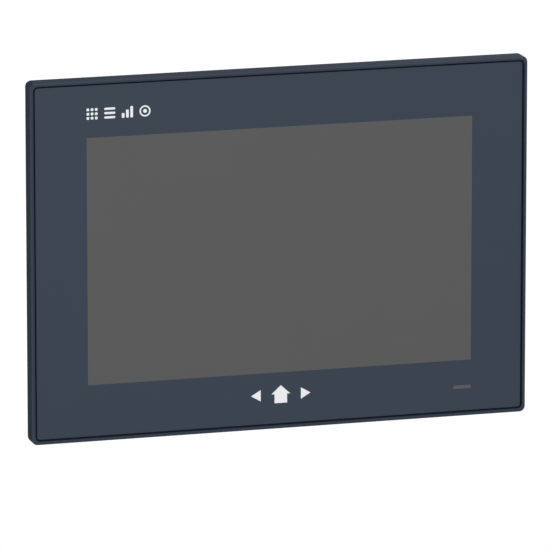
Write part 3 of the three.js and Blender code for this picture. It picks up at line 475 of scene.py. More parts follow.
def curved(profile, cut, closed=False, steps=3):
    """A profile with its corners eased. Each corner starts and ends at most cut away from its point.
    A profile's last value is its place along the axis, and the others are widths or radii."""

    def reach(one, other):
        across = abs(one[0] - other[0]) / (2 if len(one) > 2 else 1)
        return hypot(across, one[-1] - other[-1])

    def part_way(one, other, share):
        return [a + (b - a) * share for a, b in zip(one, other)]

    eased = []
    for i, point in enumerate(profile):
        if not closed and i in (0, len(profile) - 1):
            eased.append(point)
            continue
        last, following = profile[i - 1], profile[(i + 1) % len(profile)]
        before = part_way(point, last, min(0.45, cut / max(reach(point, last), 1e-6)))
        after = part_way(point, following, min(0.45, cut / max(reach(point, following), 1e-6)))
        for step in range(steps + 1):
            t = step / steps
            blend = [(1 - t) ** 2 * a + 2 * t * (1 - t) * b + t * t * c
                     for a, b, c in zip(before, point, after)]
            eased.append(blend)
    return eased


def framed(bm, profile, cut, closed=False):
    """A skin over rounded rectangles. The profile lists width, height, corner radius and y."""
    rings = [(rounded(w, h, max(r, 0.05)), y) for w, h, r, y in curved(profile, cut, closed)]
    return stacked(bm, rings, "y", closed)


def threaded(radius, start, end, pitch=0.7, depth=0.28):
    """Profile of a threaded length, as a row of rounded ridges."""
    count = int((end - start) / pitch)
    step = (end - start) / count
    profile = []
    for i in range(count):
        w = start + i * step
        profile += [(radius - depth, w + 0.05 * step), (radius, w + 0.42 * step), (radius, w + 0.58 * step)]
    return profile + [(radius - depth, end)]


def at(x, y, z):
    return Matrix.Translation((x, y, z))


def moved(bm, place):
    bmesh.ops.transform(bm, matrix=place, verts=bm.verts)
    return bm


def scene_object(name, bm, looks=()):
    mesh = bpy.data.meshes.new(name)
    bm.to_mesh(mesh)
    bm.free()
    for look in looks:
        mesh.materials.append(LOOKS[look])
    made = bpy.data.objects.new(name, mesh)
    bpy.context.scene.collection.objects.link(made)
    return made


def carved(body, tools):
    """The body less the tools, as a new bmesh. Both bmeshes are used up."""
    for bm in (body, tools):
        bmesh.ops.recalc_face_normals(bm, faces=bm.faces)
    target, tool = scene_object("carved_body", body), scene_object("carving_tool", tools)
    cut = target.modifiers.new("cut", "BOOLEAN")
    cut.operation = "DIFFERENCE"
    cut.solver = "EXACT"
    cut.use_self = True
    cut.object = tool
    result = bmesh.new()
    result.from_object(target, bpy.context.evaluated_depsgraph_get())
    for used in (target, tool):
        mesh = used.data
        bpy.data.objects.remove(used)
        bpy.data.meshes.remove(mesh)
    return result


def cut_out(tools, outline, wall, axis="y"):
    """Tool for an opening of this outline in the sheet that lies at wall."""
    prism(tools, outline, wall - 2, wall + 2, axis, 0)


def drilled(tools, radius, u, v, wall, axis="y"):
    cut_out(tools, circle(radius, u, v, 20), wall, axis)


def cable_hole(tools, wall):
    cut_out(tools, rounded(CABLE_HOLE.width, CABLE_HOLE.height, CABLE_HOLE.radius, 0, CABLE_HOLE.z, 3), wall)


def cross_recess(bm, size, depth, face_y):
    """Tool that sinks a cross for a screwdriver into a face that looks along +y."""
    blade = size / 4.5
    for width, height in ((size, blade), (blade, size)):
        prism(bm, rounded(width, height, blade * 0.3, steps=2), face_y - depth, face_y + 1, edge=0)


def finished(name, bm, looks, body):
    """Turns a bmesh into a piece that rides on a body, with smooth curves and crisp flat faces."""
    bmesh.ops.recalc_face_normals(bm, faces=bm.faces)
    for face in bm.faces:
        face.smooth = True
    for edge in bm.edges:
        edge.smooth = len(edge.link_faces) == 2 and edge.calc_face_angle(0) < SMOOTH_UNDER
    bmesh.ops.scale(bm, vec=(MM, MM, MM), verts=bm.verts)
    made = scene_object(name, bm, looks)
    normals = made.modifiers.new("flat_faces", "WEIGHTED_NORMAL")
    normals.keep_sharp = True
    normals.weight = 80
    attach(made, body)
    return made


def stand_in(node, bm, looks=None):
    """A finished piece that is shown in place of a CAD node and rides on the same body."""
    body = frame["nodes"][node]["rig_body"]
    made = finished(f"{node}_look", bm, looks or [look_of(node)], body)
    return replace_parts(made, node)


def turned_piece(node, profile, axis, place, closed=False, steps=ROUND_STEPS):
    """A stand-in that is one turned solid, drawn about the origin and then put in place."""
    bm = bmesh.new()
    turned(bm, profile, axis, closed=closed, steps=steps)
    stand_in(node, moved(bm, place))


def softened(node, bevel):
    """A CAD node keeps its mesh. It gets its material, and its edges are eased by modifiers."""
    carried = frame["nodes"][node]
    for material_slot in carried.material_slots:
        material_slot.material = LOOKS[look_of(node)]
    welded = carried.modifiers.new("weld", "WELD")
    welded.merge_threshold = 0.000002
    flat = carried.modifiers.new("flat_faces", "DECIMATE")
    flat.decimate_type = "DISSOLVE"
    flat.angle_limit = radians(1)
    eased = carried.modifiers.new("soft_edges", "BEVEL")
    eased.width = bevel * MM
    eased.segments = 2
    eased.limit_method = "ANGLE"
    eased.angle_limit = radians(35)
    eased.harden_normals = True


# ---- Front: bezel, glass, prints and gasket ----


def on_chamfer(face):
    middle = face.calc_center_median()
    from_side = max(abs(middle.x) - BEZEL.width / 2, abs(middle.z) - BEZEL.height / 2)
    return middle.y < RIM_FRONT + BEZEL.chamfer and from_side > -0.9 * BEZEL.chamfer


def front_bezel():
    """Cast frame: outer wall, chamfer, flat rim, pocket for the glass, screen opening and gasket groove."""
    width, height, radius, chamfer = BEZEL.width, BEZEL.height, BEZEL.radius, BEZEL.chamfer
    pocket = (POCKET.width, POCKET.height, POCKET.radius)
    profile = [
        (width, height, radius, SEAL_PLANE),
        (width, height, radius, RIM_FRONT + chamfer),
        (width - 2 * chamfer, height - 2 * chamfer, radius - chamfer, RIM_FRONT),
        (*pocket, RIM_FRONT),
        (*pocket, POCKET.floor),
        (*OPENING, POCKET.floor),
        (*OPENING, SEAL_PLANE),
        (262.0, 180.0, 1.0, SEAL_PLANE),
        (262.0, 180.0, 1.0, SEAL_PLANE - 1.5),
        (274.0, 192.0, 5.0, SEAL_PLANE - 1.5),
        (274.0, 192.0, 5.0, SEAL_PLANE),
    ]
    bm = bmesh.new()
    for face in framed(bm, profile, 0.28, closed=True):
        # Faces on the chamfer take the lighter paint, a painted highlight along the front edges.
        face.material_index = 1 if on_chamfer(face) else 0
    tools = bmesh.new()
    prism(tools, rounded(10.6, 2.6, 0.5, LIGHT.x, LIGHT.z, 2), 1, SEAL_PLANE + 1, edge=0)
    stand_in("front_bezel", carved(bm, tools), ["bezel_paint", "bezel_edge_highlight"])


def cover_glass():
    """Glass with an eased front edge. The screen window is a face of its own inside the printed border."""
    width, height, radius, chamfer = GLASS.width, GLASS.height, GLASS.radius, GLASS.chamfer
    profile = [
        (width - 1, height - 1, radius - 0.5, GLASS.back),
        (width, height, radius, GLASS.back),
        (width, height, radius, chamfer),
        (width - 2 * chamfer, height - 2 * chamfer, radius - chamfer, 0.0),
        (WINDOW.width, WINDOW.height, WINDOW.radius, 0.0),
    ]
    bm = bmesh.new()
    faces = framed(bm, profile, 0.1)
    for face in faces:
        if face.calc_center_median().y > chamfer:
            face.material_index = 2
    faces[-1].material_index = 1
    stand_in("cover_glass", bm, ["printed_glass", "screen_window", "glass_edge"])


PRINT_FRONT, PRINT_BACK = -0.02, 0.02


def printed(bm, outline):
    prism(bm, outline, PRINT_FRONT, PRINT_BACK, edge=0)


def printed_ring(bm, outer, inner):
    layers = [(outer, PRINT_FRONT), (outer, PRINT_BACK), (inner, PRINT_BACK), (inner, PRINT_FRONT)]
    stacked(bm, layers, closed=True)


def status_light_window():
    bm = bmesh.new()
    printed(bm, rounded(LIGHT.width, LIGHT.height, 0.2, LIGHT.x, LIGHT.window_z, 3))
    finished("status_light_window", bm, ["light_window"], "housing")


def top_symbols():
    """Four plain symbols in the top left corner: grid of dots, list, chart and dial."""
    size, pitch, z = 6.2, 9.9, 82.0
    left = -WINDOW.width / 2 + size / 2
    dots, lines, chart, dial = [left + i * pitch for i in range(4)]
    bm = bmesh.new()
    for x in spread(3, 2.35, dots):
        for row in spread(3, 2.35, z):
            printed(bm, rounded(1.5, 1.5, 0.4, x, row, 2))
    for row in spread(3, 2.4, z):
        printed(bm, rounded(size, 1.2, 0.5, lines, row, 2))
    for i, x in enumerate(spread(3, 2.4, chart)):
        height = 2.6 + 1.8 * i
        printed(bm, rounded(1.5, height, 0.3, x, z - size / 2 + height / 2, 2))
    printed_ring(bm, circle(size / 2, dial, z), circle(size / 2 - 0.8, dial, z))
    printed(bm, circle(1.1, dial, z, 20))
    finished("printed_symbols_top", bm, ["white_print"], "housing")


def bottom_symbols():
    """Three plain symbols under the screen: an arrow to the left, a house and an arrow to the right."""
    z = -81.3
    bm = bmesh.new()
    for x, way in ((-13.8, -1), (13.8, 1)):
        arrow = [(x + way * 3.2, z), (x - way * 2.3, z + 3.2), (x - way * 2.3, z - 3.2)]
        printed(bm, arrow if way < 0 else arrow[::-1])
    house = [(-3.6, -4.8), (3.6, -4.8), (3.6, 0.3), (5.4, 0.3), (0.0, 5.2), (-5.4, 0.3), (-3.6, 0.3)]
    printed(bm, [(x, z + up) for x, up in house])
    finished("printed_symbols_bottom", bm, ["white_print"], "housing")


def panel_gasket():
    """Soft seal with two ridges that the cabinet door presses flat."""
    front, back = SEAL_PLANE - 1.4, SEAL_PLANE + 0.8
    profile = [
        (273.8, 191.8, 5.0, front),
        (273.8, 191.8, 5.0, back),
        (270.4, 188.4, 3.4, back),
        (269.0, 187.0, 3.0, back - 0.7),
        (267.0, 185.0, 2.4, back - 0.7),
        (265.6, 183.6, 1.9, back),
        (262.2, 180.2, 1.1, back),
        (262.2, 180.2, 1.1, front),
    ]
    bm = bmesh.new()
    framed(bm, profile, 0.6, closed=True)
    stand_in("panel_gasket", bm)


# ---- Display tray and computer box ----


def folded_box(bm, size, closed_end, open_end, opening, inner_radius, ease):
    """Box folded from sheet: closed at one end, and turned in round an opening at the other."""
    width, height, sheet = size.width, size.height, size.sheet
    inwards = sheet if open_end > closed_end else -sheet
    plate = (width - 8, height - 8, 1.0)
    inner = (width - 2 * sheet, height - 2 * sheet, inner_radius)
    outer = (width, height, size.radius)
    profile = [
        (*plate, closed_end + inwards),
        (*inner, closed_end + inwards),
        (*inner, open_end - inwards),
        (*opening, open_end - inwards),
        (*opening, open_end),
        (*outer, open_end),
        (*outer, closed_end),
        (*plate, closed_end),
    ]
    framed(bm, profile, ease)


def display_tray():
    """Folded tray: a lip at the front, four walls with slots, and a back with a hole for the cable."""
    width, height, sheet = TRAY.width, TRAY.height, TRAY.sheet
    bm = bmesh.new()
    folded_box(bm, TRAY, TRAY.back, TRAY.front, (width - 14, height - 14, 1.0), 1.0, 0.7)
    tools = bmesh.new()
    prism(tools, rounded(11, 3, 0.5, LIGHT.x, LIGHT.z, 2), TRAY.front - 1, TRAY.front + 3, edge=0)
    cable_hole(tools, TRAY.back)
    for side in (-1, 1):
        wall_z = side * (height - sheet) / 2
        wall_x = side * (width - sheet) / 2
        for x in (-CLAMP_X - 5, -CLAMP_X + 5, CLAMP_X - 5, CLAMP_X + 5):
            cut_out(tools, rounded(4, 5.2, 0.4, x, 19.1, 2), wall_z, "z")
        for x in spread(7, 7):
            cut_out(tools, slot(3, 9, x, 20.3), wall_z, "z")
        for z in spread(5, 7):
            cut_out(tools, slot(9, 3, 20.3, z), wall_x, "x")
    stand_in("display_tray", carved(bm, tools))


# Middle, width, depth and first y of the opening in the underside for each connector.
PORT_OPENINGS = [
    (PORT_X.power, 22.4, 12.4, BOARD_TOP),
    (PORT_X.serial, 19.2, 10.8, BOARD_TOP + 1),
    *((x, 14.0, 16.4, BOARD_TOP) for x in PORT_X.usb),
    *((x, 16.8, 14.2, BOARD_TOP) for x in PORT_X.lan),
    (PORT_X.video, 17.6, 6.4, BOARD_TOP),
]


def ear_places():
    offset = (HINGE.knuckle + HINGE.ear) / 2 + 0.3
    return [x + side * offset for x in (-HINGE.x, HINGE.x) for side in (-1, 1)]


def hinge_ear(bm, x):
    """Arm out of the top wall that ends in a round eye."""
    y, z, radius = HINGE.y, HINGE.z, HINGE.radius
    outline = [(y - 6.6, z - radius), *arc(y, z, radius, -90, 174, 14), (y - 6.6, z + 0.2)]
    prism(bm, outline, x - HINGE.ear / 2, x + HINGE.ear / 2, "x", 0.2)


def box_openings(tools):
    """Openings for the connectors, vents, drive, screws, stud, hinge pin and cable."""
    back = BOX.back - BOX.sheet / 2
    bottom = UNDERSIDE + BOX.sheet / 2
    side = (BOX.width - BOX.sheet) / 2
    for x, opening, depth, y in PORT_OPENINGS:
        cut_out(tools, rounded(opening, depth, 0.6, x, y + depth / 2, 3), bottom, "z")
    for x in spread(8, 6, -60) + spread(8, 6, 60):
        cut_out(tools, slot(2.8, 12, x, 40.0), -bottom, "z")
    for z in spread(7, 6, -42):
        cut_out(tools, slot(12, 2.8, 40.0, z), -side, "x")
        cut_out(tools, slot(12, 2.8, 40.0, z), side, "x")
    for x, z in SINK_SCREWS:
        drilled(tools, 1.8, x, z, back)
    cut_out(tools, circle(4.3, PORT_X.button, TERMINAL_Y), bottom, "z")
    drilled(tools, SCREW_HOLE, PORT_X.ground, TERMINAL_Y, bottom, "z")
    drilled(tools, SCREW_HOLE, DRIVE_SCREW.y, DRIVE_SCREW.z, side, "x")
    drilled(tools, SCREW_HOLE, 0, DOOR.screw_z, back)
    prism(tools, circle(1.15, HINGE.y, HINGE.z, 20), -110, 110, "x", 0)
    cut_out(tools, rounded(9.2, 72.8, 0.8, 42.0, DRIVE_Z, 3), side, "x")
    cable_hole(tools, BOX.front)


def box_chassis():
    """Folded box, open at the back inside a turned-in edge, with hinge ears, posts, vents and openings."""
    front, back, sheet = BOX.front, BOX.back, BOX.sheet
    bm = bmesh.new()
    folded_box(bm, BOX, front, back, (BOX.width - 26, BOX.height - 16, 1.0), 0.6, 0.6)
    for x in (-100, 100):
        for z in (-66, 66):
            turned(bm, [(3, front + 1.1), (3, front + 2.5), (2.8, front + 2.6)], u=x, v=z)
    block(bm, (-108, back - sheet + 0.02, 14.5), (108, back - 0.02, 20.5), 0.1)
    block(bm, (-8, back - sheet + 0.03, 15.0), (8, back - 0.03, 27.0), 0.1)
    for x in ear_places():
        hinge_ear(bm, x)
    tools = bmesh.new()
    box_openings(tools)
    stand_in("box_chassis", carved(bm, tools))


def heat_sink():
    """Extruded sink: a base plate and fins that flare into it and end round."""
    front, back, top, bottom = SINK.front, SINK.back, SINK.top, SINK.bottom
    root = front + SINK.base
    bm = bmesh.new()
    outline = rounded(BOX.width, top - bottom, BOX.radius, 0, (top + bottom) / 2)
    prism(bm, outline, front, root, edge=0.35, steps=3)
    tip = 0.62
    for x in spread(SINK.fins, SINK.pitch):
        right = [(1.9, root - 0.05), (1.25, root + 0.25), (0.9, root + 0.9), (tip + 0.05, back - tip)]
        side = [(x + u, v) for u, v in right]
        other = [(x - u, v) for u, v in reversed(right)]
        end = arc(x, back - tip, tip, 0, 180, 6)[1:-1]
        prism(bm, side + end + other, bottom + 1.5, top - 1.5, "z", 0.12)
    tools = bmesh.new()
    for x, z in SINK_SCREWS:
        prism(tools, circle(1.8, x, z, 20), front - 1, root + 1, edge=0)
    stand_in("heat_sink", carved(bm, tools))


def pan_head_screw():
    """Screw with a domed head and a cross recess, drawn with its seat at y = 0."""
    profile = [(1.2, -7.5), *threaded(1.5, -7.3, -0.3, 0.5, 0.2), (1.5, 0), (2.6, 0), (2.8, 0.25),
               (2.75, 0.9), (2.45, 1.5), (1.9, 1.82), (1.0, 1.9)]
    bm = bmesh.new()
    turned(bm, profile)
    tools = bmesh.new()
    cross_recess(tools, 2.9, 1.1, 1.9)
    return carved(bm, tools)


def heat_sink_screws():
    for i, (x, z) in enumerate(SINK_SCREWS):
        place = at(x, SINK.front + SINK.base + 0.1, z)
        stand_in(f"heat_sink_screw_{i + 1}", moved(pan_head_screw(), place))


# ---- Service door and captive thumbscrews ----


def door_outline():
    """Leaf with a notch at each hinge ear and a tab under each knuckle."""
    half, top, bottom, radius = BOX.width / 2, DOOR.top, DOOR.bottom, BOX.radius
    notch, tab = HINGE.ear / 2 + 0.3, HINGE.knuckle / 2
    ear = ear_places()[-1] - HINGE.x
    points = arc(half - radius, bottom + radius, radius, 270, 360, CORNER_STEPS)
    points += arc(half - radius, top - radius, radius, 0, 90, CORNER_STEPS)
    for x in (HINGE.x, -HINGE.x):
        for way in (1, -1):
            outer, inner = x + way * (ear + notch), x + way * tab
            corner = [(outer, top), (outer, top - 2), (inner, top - 2), (inner, HINGE.z)]
            points += corner if way > 0 else corner[::-1]
    points += arc(-half + radius, top - radius, radius, 90, 180, CORNER_STEPS)
    points += arc(-half + radius, bottom + radius, radius, 180, 270, CORNER_STEPS)
    return points


def service_door():
    """Leaf with vents, a hole for its screw and a rolled knuckle at each hinge."""
    bm = bmesh.new()
    prism(bm, door_outline(), DOOR.front, DOOR.back, edge=0.2)
    outer, bore = HINGE.radius, HINGE.pin + 0.3
    for x in (-HINGE.x, HINGE.x):
        start, end = x - HINGE.knuckle / 2, x + HINGE.knuckle / 2
        profile = [(bore, start), (outer - 0.2, start), (outer, start + 0.2), (outer, end - 0.2),
                   (outer - 0.2, end), (bore, end)]
        turned(bm, profile, "x", HINGE.y, HINGE.z, closed=True)
    tools = bmesh.new()
    middle = (DOOR.top + DOOR.bottom) / 2 + 2
    for x in spread(6, 7, -62) + spread(6, 7, 62):
        prism(tools, slot(3, 26, x, middle), DOOR.front - 1, DOOR.back + 1, edge=0)
    prism(tools, circle(SCREW_HOLE, 0, DOOR.screw_z, 24), DOOR.front - 1, DOOR.back + 1, edge=0)
    stand_in("service_door", carved(bm, tools))


def door_hinge_pin():
    low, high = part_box("door_hinge_pin")
    start, end = low.x / MM, high.x / MM
    profile = [(0.7, start), (1.0, start + 0.4), (1.0, end - 1.4), (1.9, end - 1.35), (1.9, end - 0.4),
               (1.5, end)]
    turned_piece("door_hinge_pin", profile, "x", at(0, HINGE.y, HINGE.z))


def knurled(radius, teeth=26, depth=0.32):
    """Round outline with straight knurls."""
    count = teeth * 6
    middle = radius - depth / 2
    outline = []
    for i in range(count):
        turn = 2 * pi * i / count
        reach = middle + depth / 2 * cos(teeth * turn)
        outline.append((reach * cos(turn), reach * sin(turn)))
    return outline


def captive_screw(name, place):
    """Knurled thumbscrew on its washer, drawn with its seat at y = 0 and then put in place."""
    washer = [(SCREW_HOLE, 0.1), (3.3, 0.1), (3.4, 0.2), (3.4, 0.8), (3.3, 0.9), (SCREW_HOLE, 0.9)]
    turned_piece(f"{name}_washer", washer, "y", place, closed=True)
    bm = bmesh.new()
    grip = knurled(4.2)
    rim = circle(3.6, steps=len(grip))
    stacked(bm, [(rim, 1.82), (grip, 2.2), (grip, 6.0), (rim, 6.4)])
    turned(bm, [(2.9, 1.0), (2.9, 1.9)])
    turned(bm, [(1.5, -3.1), *threaded(1.9, -2.9, -0.4), (1.7, -0.1), (1.7, 1.2)])
    tools = bmesh.new()
    prism(tools, rounded(6.4, 0.9, 0.3, steps=2), 5.4, 7.4, edge=0)
    stand_in(name, moved(carved(bm, tools), place))


def thumbscrews():
    captive_screw("door_thumbscrew", at(0, DOOR.back, DOOR.screw_z))
    sideways = Matrix.Rotation(-pi / 2, 4, "Z")
    captive_screw("drive_thumbscrew", at(DRIVE_SCREW.x, DRIVE_SCREW.y, DRIVE_SCREW.z) @ sideways)


# ---- Drive ----


def drive_tray():
    """Carrier: floor with a window, two lips, an end plate and a bent tab to pull on."""
    bm = bmesh.new()
    prism(bm, rounded(105.0, 72.4, 0.6, 64.5, DRIVE_Z), 37.8, 38.8)
    for z in (2.3, 73.7):
        block(bm, (12, 37.9, z - 0.5), (117, 42.8, z + 0.5), 0.2)
    prism(bm, rounded(14.2, 89.0, 1.6, 42.5, 32.5), 116.3, DRIVE_SCREW.x, "x", 0.25)
    tab = [(117.2, 41.8), (124.4, 41.8), (124.4, 40.5), (125.7, 40.5), (125.7, 44.5), (124.4, 44.5),
           (124.4, 43.2), (117.2, 43.2)]
    prism(bm, tab, 28, 48, "z", 0.25)
    tools = bmesh.new()
    prism(tools, slot(3, 12, 121.2, DRIVE_Z), 39, 45, edge=0)
    drilled(tools, SCREW_HOLE, DRIVE_SCREW.y, DRIVE_SCREW.z, DRIVE_SCREW.x, "x")
    prism(tools, rounded(60, 44, 5, 60, DRIVE_Z), 36, 40, edge=0)
    stand_in("drive_tray", carved(bm, tools))


def solid_state_drive():
    """Drive case with a shallow step all round and a plug at its inner end."""
    bm = bmesh.new()
    case = rounded(100.2, 69.8, 2.0, 63.1, DRIVE_Z)
    steps = [(0.6, 39.0), (0, 39.6), (0, 45.1), (0.35, 45.5), (1.2, 45.5), (1.5, 45.9), (1.9, 46.0)]
    stacked(bm, [(inset(case, distance), y) for distance, y in steps])
    tools = bmesh.new()
    prism(tools, rounded(3.6, 42, 0.4, 41.3, 30, 2), 12, 17, "x", 0)
    for x in (28, 104):
        for z in (3.0, 73.0):
            prism(tools, circle(1.5, x, 42.1, 16), z - 3, z + 3, "z", 0)
    stand_in("solid_state_drive", carved(bm, tools))
    bm = bmesh.new()
    prism(bm, rounded(72, 52, 2, 62, DRIVE_Z), 45.96, 46.06, edge=0.03)
    finished("drive_label", bm, ["drive_label"], "drive_carrier")


# ---- Connectors, drawn about x = 0 with the board at y = 0 and then put in place ----

# Their mouths look down, and lie at z = 0 unless a port says otherwise.
PORT_LOOKS = ["port_shell", "black_plastic", "gold_contact", "amber_lamp", "green_lamp"]
SHELL, INSULATOR, CONTACT, AMBER, GREEN = range(5)


def port_block(bm, x, width, y0, y1, z0, z1, material, edge=0.1, radius=0.4):
    outline = rounded(width, y1 - y0, radius, x, (y0 + y1) / 2, 3)
    prism(bm, outline, z0, z1, "z", edge, material)


def port(node, bm, x, z=MOUTH, looks=PORT_LOOKS):
    stand_in(node, moved(bm, at(x, BOARD_TOP, z)), looks)


def usb_port_pair(node, x):
    """Two stacked sockets in one shell, each with a tongue and its four contacts."""
    bm = bmesh.new()
    port_block(bm, 0, 13.2, 0.2, 15.8, 0, 17, SHELL)
    tools = bmesh.new()
    for low in (1.6, 8.7):
        port_block(tools, 0, 12.0, low, low + 5.4, -1, 9, SHELL, 0)
    bm = carved(bm, tools)
    for low in (4.6, 11.7):
        port_block(bm, 0, 10.6, low, low + 1.9, 0.7, 9.4, INSULATOR, 0.1, 0.2)
        for contact in spread(4, 2.3):
            port_block(bm, contact, 1.0, low - 0.08, low + 0.1, 1.3, 9.2, CONTACT, 0, 0.05)
    port(node, bm, x)


def ethernet_port(node, x):
    """Socket with a latch slot, eight contacts and two lamps in its face."""
    bm = bmesh.new()
    port_block(bm, 0, 16.0, 0.2, 13.6, 0, 18, SHELL, 0.15, 0.5)
    tools = bmesh.new()
    port_block(tools, 0, 11.9, 1.8, 10.2, -1, 10, SHELL, 0)
    port_block(tools, 0, 6.2, 9.5, 12.6, -1, 10, SHELL, 0)
    bm = carved(bm, tools)
    port_block(bm, 0, 11.8, 1.85, 10.15, 8.6, 9.95, INSULATOR, 0, 0.3)
    for contact in spread(8, 1.1):
        port_block(bm, contact, 0.45, 2.0, 2.5, 2.5, 8.8, CONTACT, 0, 0.05)
    for middle, lamp in ((-5.3, AMBER), (5.3, GREEN)):
        port_block(bm, middle, 2.6, 11.0, 12.6, -0.02, 1, lamp, 0.02, 0.2)
    port(node, bm, x)


def video_port():
    """Flat socket with sloped corners, a tongue and ten contacts."""
    bm = bmesh.new()
    shell = [(-7.9, 0.6), (-6.6, 0.2), (6.6, 0.2), (7.9, 0.6), (8.4, 1.4), (8.4, 5.4), (7.9, 5.8),
             (-7.9, 5.8), (-8.4, 5.4), (-8.4, 1.4)]
    prism(bm, shell, 0, 15, "z", 0.1)
    tools = bmesh.new()
    mouth = [(-6.6, 1.0), (6.6, 1.0), (7.6, 2.0), (7.6, 5.1), (-7.6, 5.1), (-7.6, 2.0)]
    prism(tools, mouth, -1, 7, "z", 0)
    bm = carved(bm, tools)
    port_block(bm, 0, 12.6, 2.6, 3.8, 0.4, 7.4, INSULATOR, 0.1, 0.3)
    for contact in spread(10, 1.15):
        port_block(bm, contact, 0.4, 2.53, 2.7, 1.0, 7.0, CONTACT, 0, 0.03)
    port("video_port", bm, PORT_X.video)


def d_shape(shrink, middle, radius=1.6):
    """D outline of a serial connector, about a place on the y axis."""
    half, wide, narrow = 4.2 - shrink, 8.7 - shrink, 7.6 - shrink
    corners = [(wide, half, 10), (-wide, half, 90), (-narrow, -half, 170), (narrow, -half, 270)]
    points = []
    for u, v, start in corners:
        cu, cv = u - radius * (1 if u > 0 else -1), v - radius * (1 if v > 0 else -1)
        points += arc(cu, middle + cv, radius, start - 10, start + 80, 5)
    return points


def serial_port():
    """Nine-way D connector: flange, D-shaped shell round its pins, and a threaded post at each side.
    Its flange seats at z = 0."""
    middle = 6.4
    bm = bmesh.new()
    port_block(bm, 0, 30.8, 0.2, 12.6, -1, 0, SHELL, 0.2, 2.0)
    shell = [(0, -0.9), (0, -5.8), (0.15, -6), (0.5, -6), (0.6, -5.9), (0.6, -0.9)]
    stacked(bm, [(d_shape(shrink, middle), z) for shrink, z in shell], "z", closed=True)
    prism(bm, d_shape(0.7, middle), -2.4, -0.5, "z", 0, INSULATOR)
    port_block(bm, 0, 17.4, 0.6, 12.2, 1.4, 12, INSULATOR, 0.3, 0.5)
    for count, v in ((5, 1.4), (4, -1.4)):
        for pin in spread(count, 2.77):
            turned(bm, [(0.5, -1), (0.5, -4.9), (0.3, -5.2)], "z", pin, middle + v, CONTACT, steps=10)
    post_radius, bore_radius = 2.9, 1.305
    for x in (-12.5, 12.5):
        post, hole = circle(post_radius, x, middle, 6), circle(bore_radius, x, middle, 6)
        layers = [(inset(post, 0.25), -6.2), (post, -6.0), (post, -0.95), (hole, -0.95), (hole, -6.2)]
        stacked(bm, layers, "z", closed=True)
    port("serial_port", bm, PORT_X.serial, UNDERSIDE - 0.1)


WAYS = spread(3, 5.08)  # the three ways of the power connector


def dc_power_header():
    """Shrouded socket with three round pins."""
    bm = bmesh.new()
    port_block(bm, 0, 21.8, 0.2, 12.0, 0, 12, 0, 0.2)
    tools = bmesh.new()
    port_block(tools, 0, 19.6, 1.5, 10.7, -1, 9, 0, 0, 0.3)
    bm = carved(bm, tools)
    for way in WAYS:
        turned(bm, [(0.4, 1.9), (0.6, 2.3), (0.6, 9.5)], "z", way, 6, 1, steps=12)
    port("dc_power_header", bm, PORT_X.power, looks=["green_plastic", "gold_contact"])


def dc_power_plug():
    """Pluggable terminal: tongue, body with a wire mouth and a screw well for each way, and grip ribs.
    Its shoulder is at z = 0."""
    bm = bmesh.new()
    port_block(bm, 0, 19.2, 1.7, 10.5, 0.1, 8, 0, 0.2)
    side = [(1.1, 0.2), (1.1, -13.6), (2.3, -14.8), (11.7, -14.8), (12.9, -13.6), (12.9, -2.2),
            (10.9, 0.2)]
    prism(bm, side[::-1], -10.3, 10.3, "x", 0.3)
    tools = bmesh.new()
    for way in WAYS:
        port_block(tools, way, 3.4, 4.6, 8.6, -16, -9.6, 0, 0, 0.9)
        prism(tools, circle(2.0, way, -7.0, 24), 9.5, 14, edge=0)
        prism(tools, circle(0.95, way, 6, 14), -1, 9, "z", 0)
    for z in spread(4, 1.6, -9):
        block(tools, (-12, 0.4, z - 0.3), (12, 1.5, z + 0.3), 0.05)
    for gap in (-2.54, 2.54):
        block(tools, (gap - 0.25, 12.4, -16), (gap + 0.25, 14, 1), 0.05)
    port("dc_power_plug", carved(bm, tools), PORT_X.power, MOUTH - 0.2, ["green_plastic"])


def wire_screws():
    """Slotted screws, drawn from y = 0 to their length."""
    for i, way in enumerate(WAYS):
        node = f"wire_screw_{i + 1}"
        low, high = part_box(node)
        length = (high.y - low.y) / MM
        bm = bmesh.new()
        turned(bm, [(1.5, 0), (1.7, 0.2), (1.7, length - 0.25), (1.45, length)])
        tools = bmesh.new()
        prism(tools, rounded(4, 0.7, 0.1, steps=2), length - 0.8, length + 1, edge=0)
        place = at(PORT_X.power + way, low.y / MM, (low.z + high.z) / 2 / MM)
        stand_in(node, moved(carved(bm, tools), place))


def power_button():
    """Cap with a dished face, a skirt behind the wall and the stem that works the switch."""
    profile = [(2.6, -1.1), (3.3, -1.4), (3.75, -1.3), (4.0, -1.0), (4.0, 1.65), (5.0, 1.7), (5.0, 2.5),
               (1.5, 2.6), (1.5, 6.6)]
    turned_piece("power_button", profile, "z", at(PORT_X.button, TERMINAL_Y, UNDERSIDE))


def ground_nut():
    """Hexagon nut whose corners are turned off at both ends."""
    corner_radius = 4.05
    flat_radius, rim_radius = corner_radius * cos(radians(30)), corner_radius * 0.9
    flats, rim = [], []
    for i, (u, v) in enumerate(circle(1, steps=48)):
        from_flat = i * 7.5 % 60 - 30  # degrees from the middle of the nearest flat
        reach = flat_radius / cos(radians(from_flat))
        flats.append((u * reach, v * reach))
        rim.append((u * min(reach, rim_radius), v * min(reach, rim_radius)))
    bore = circle(SCREW_HOLE, steps=48)
    low, high = -4.3, -1.1
    bm = bmesh.new()
    layers = [(bore, low), (rim, low), (flats, low + 0.45), (flats, high - 0.45), (rim, high),
              (bore, high)]
    stacked(bm, layers, "z", closed=True)
    return bm


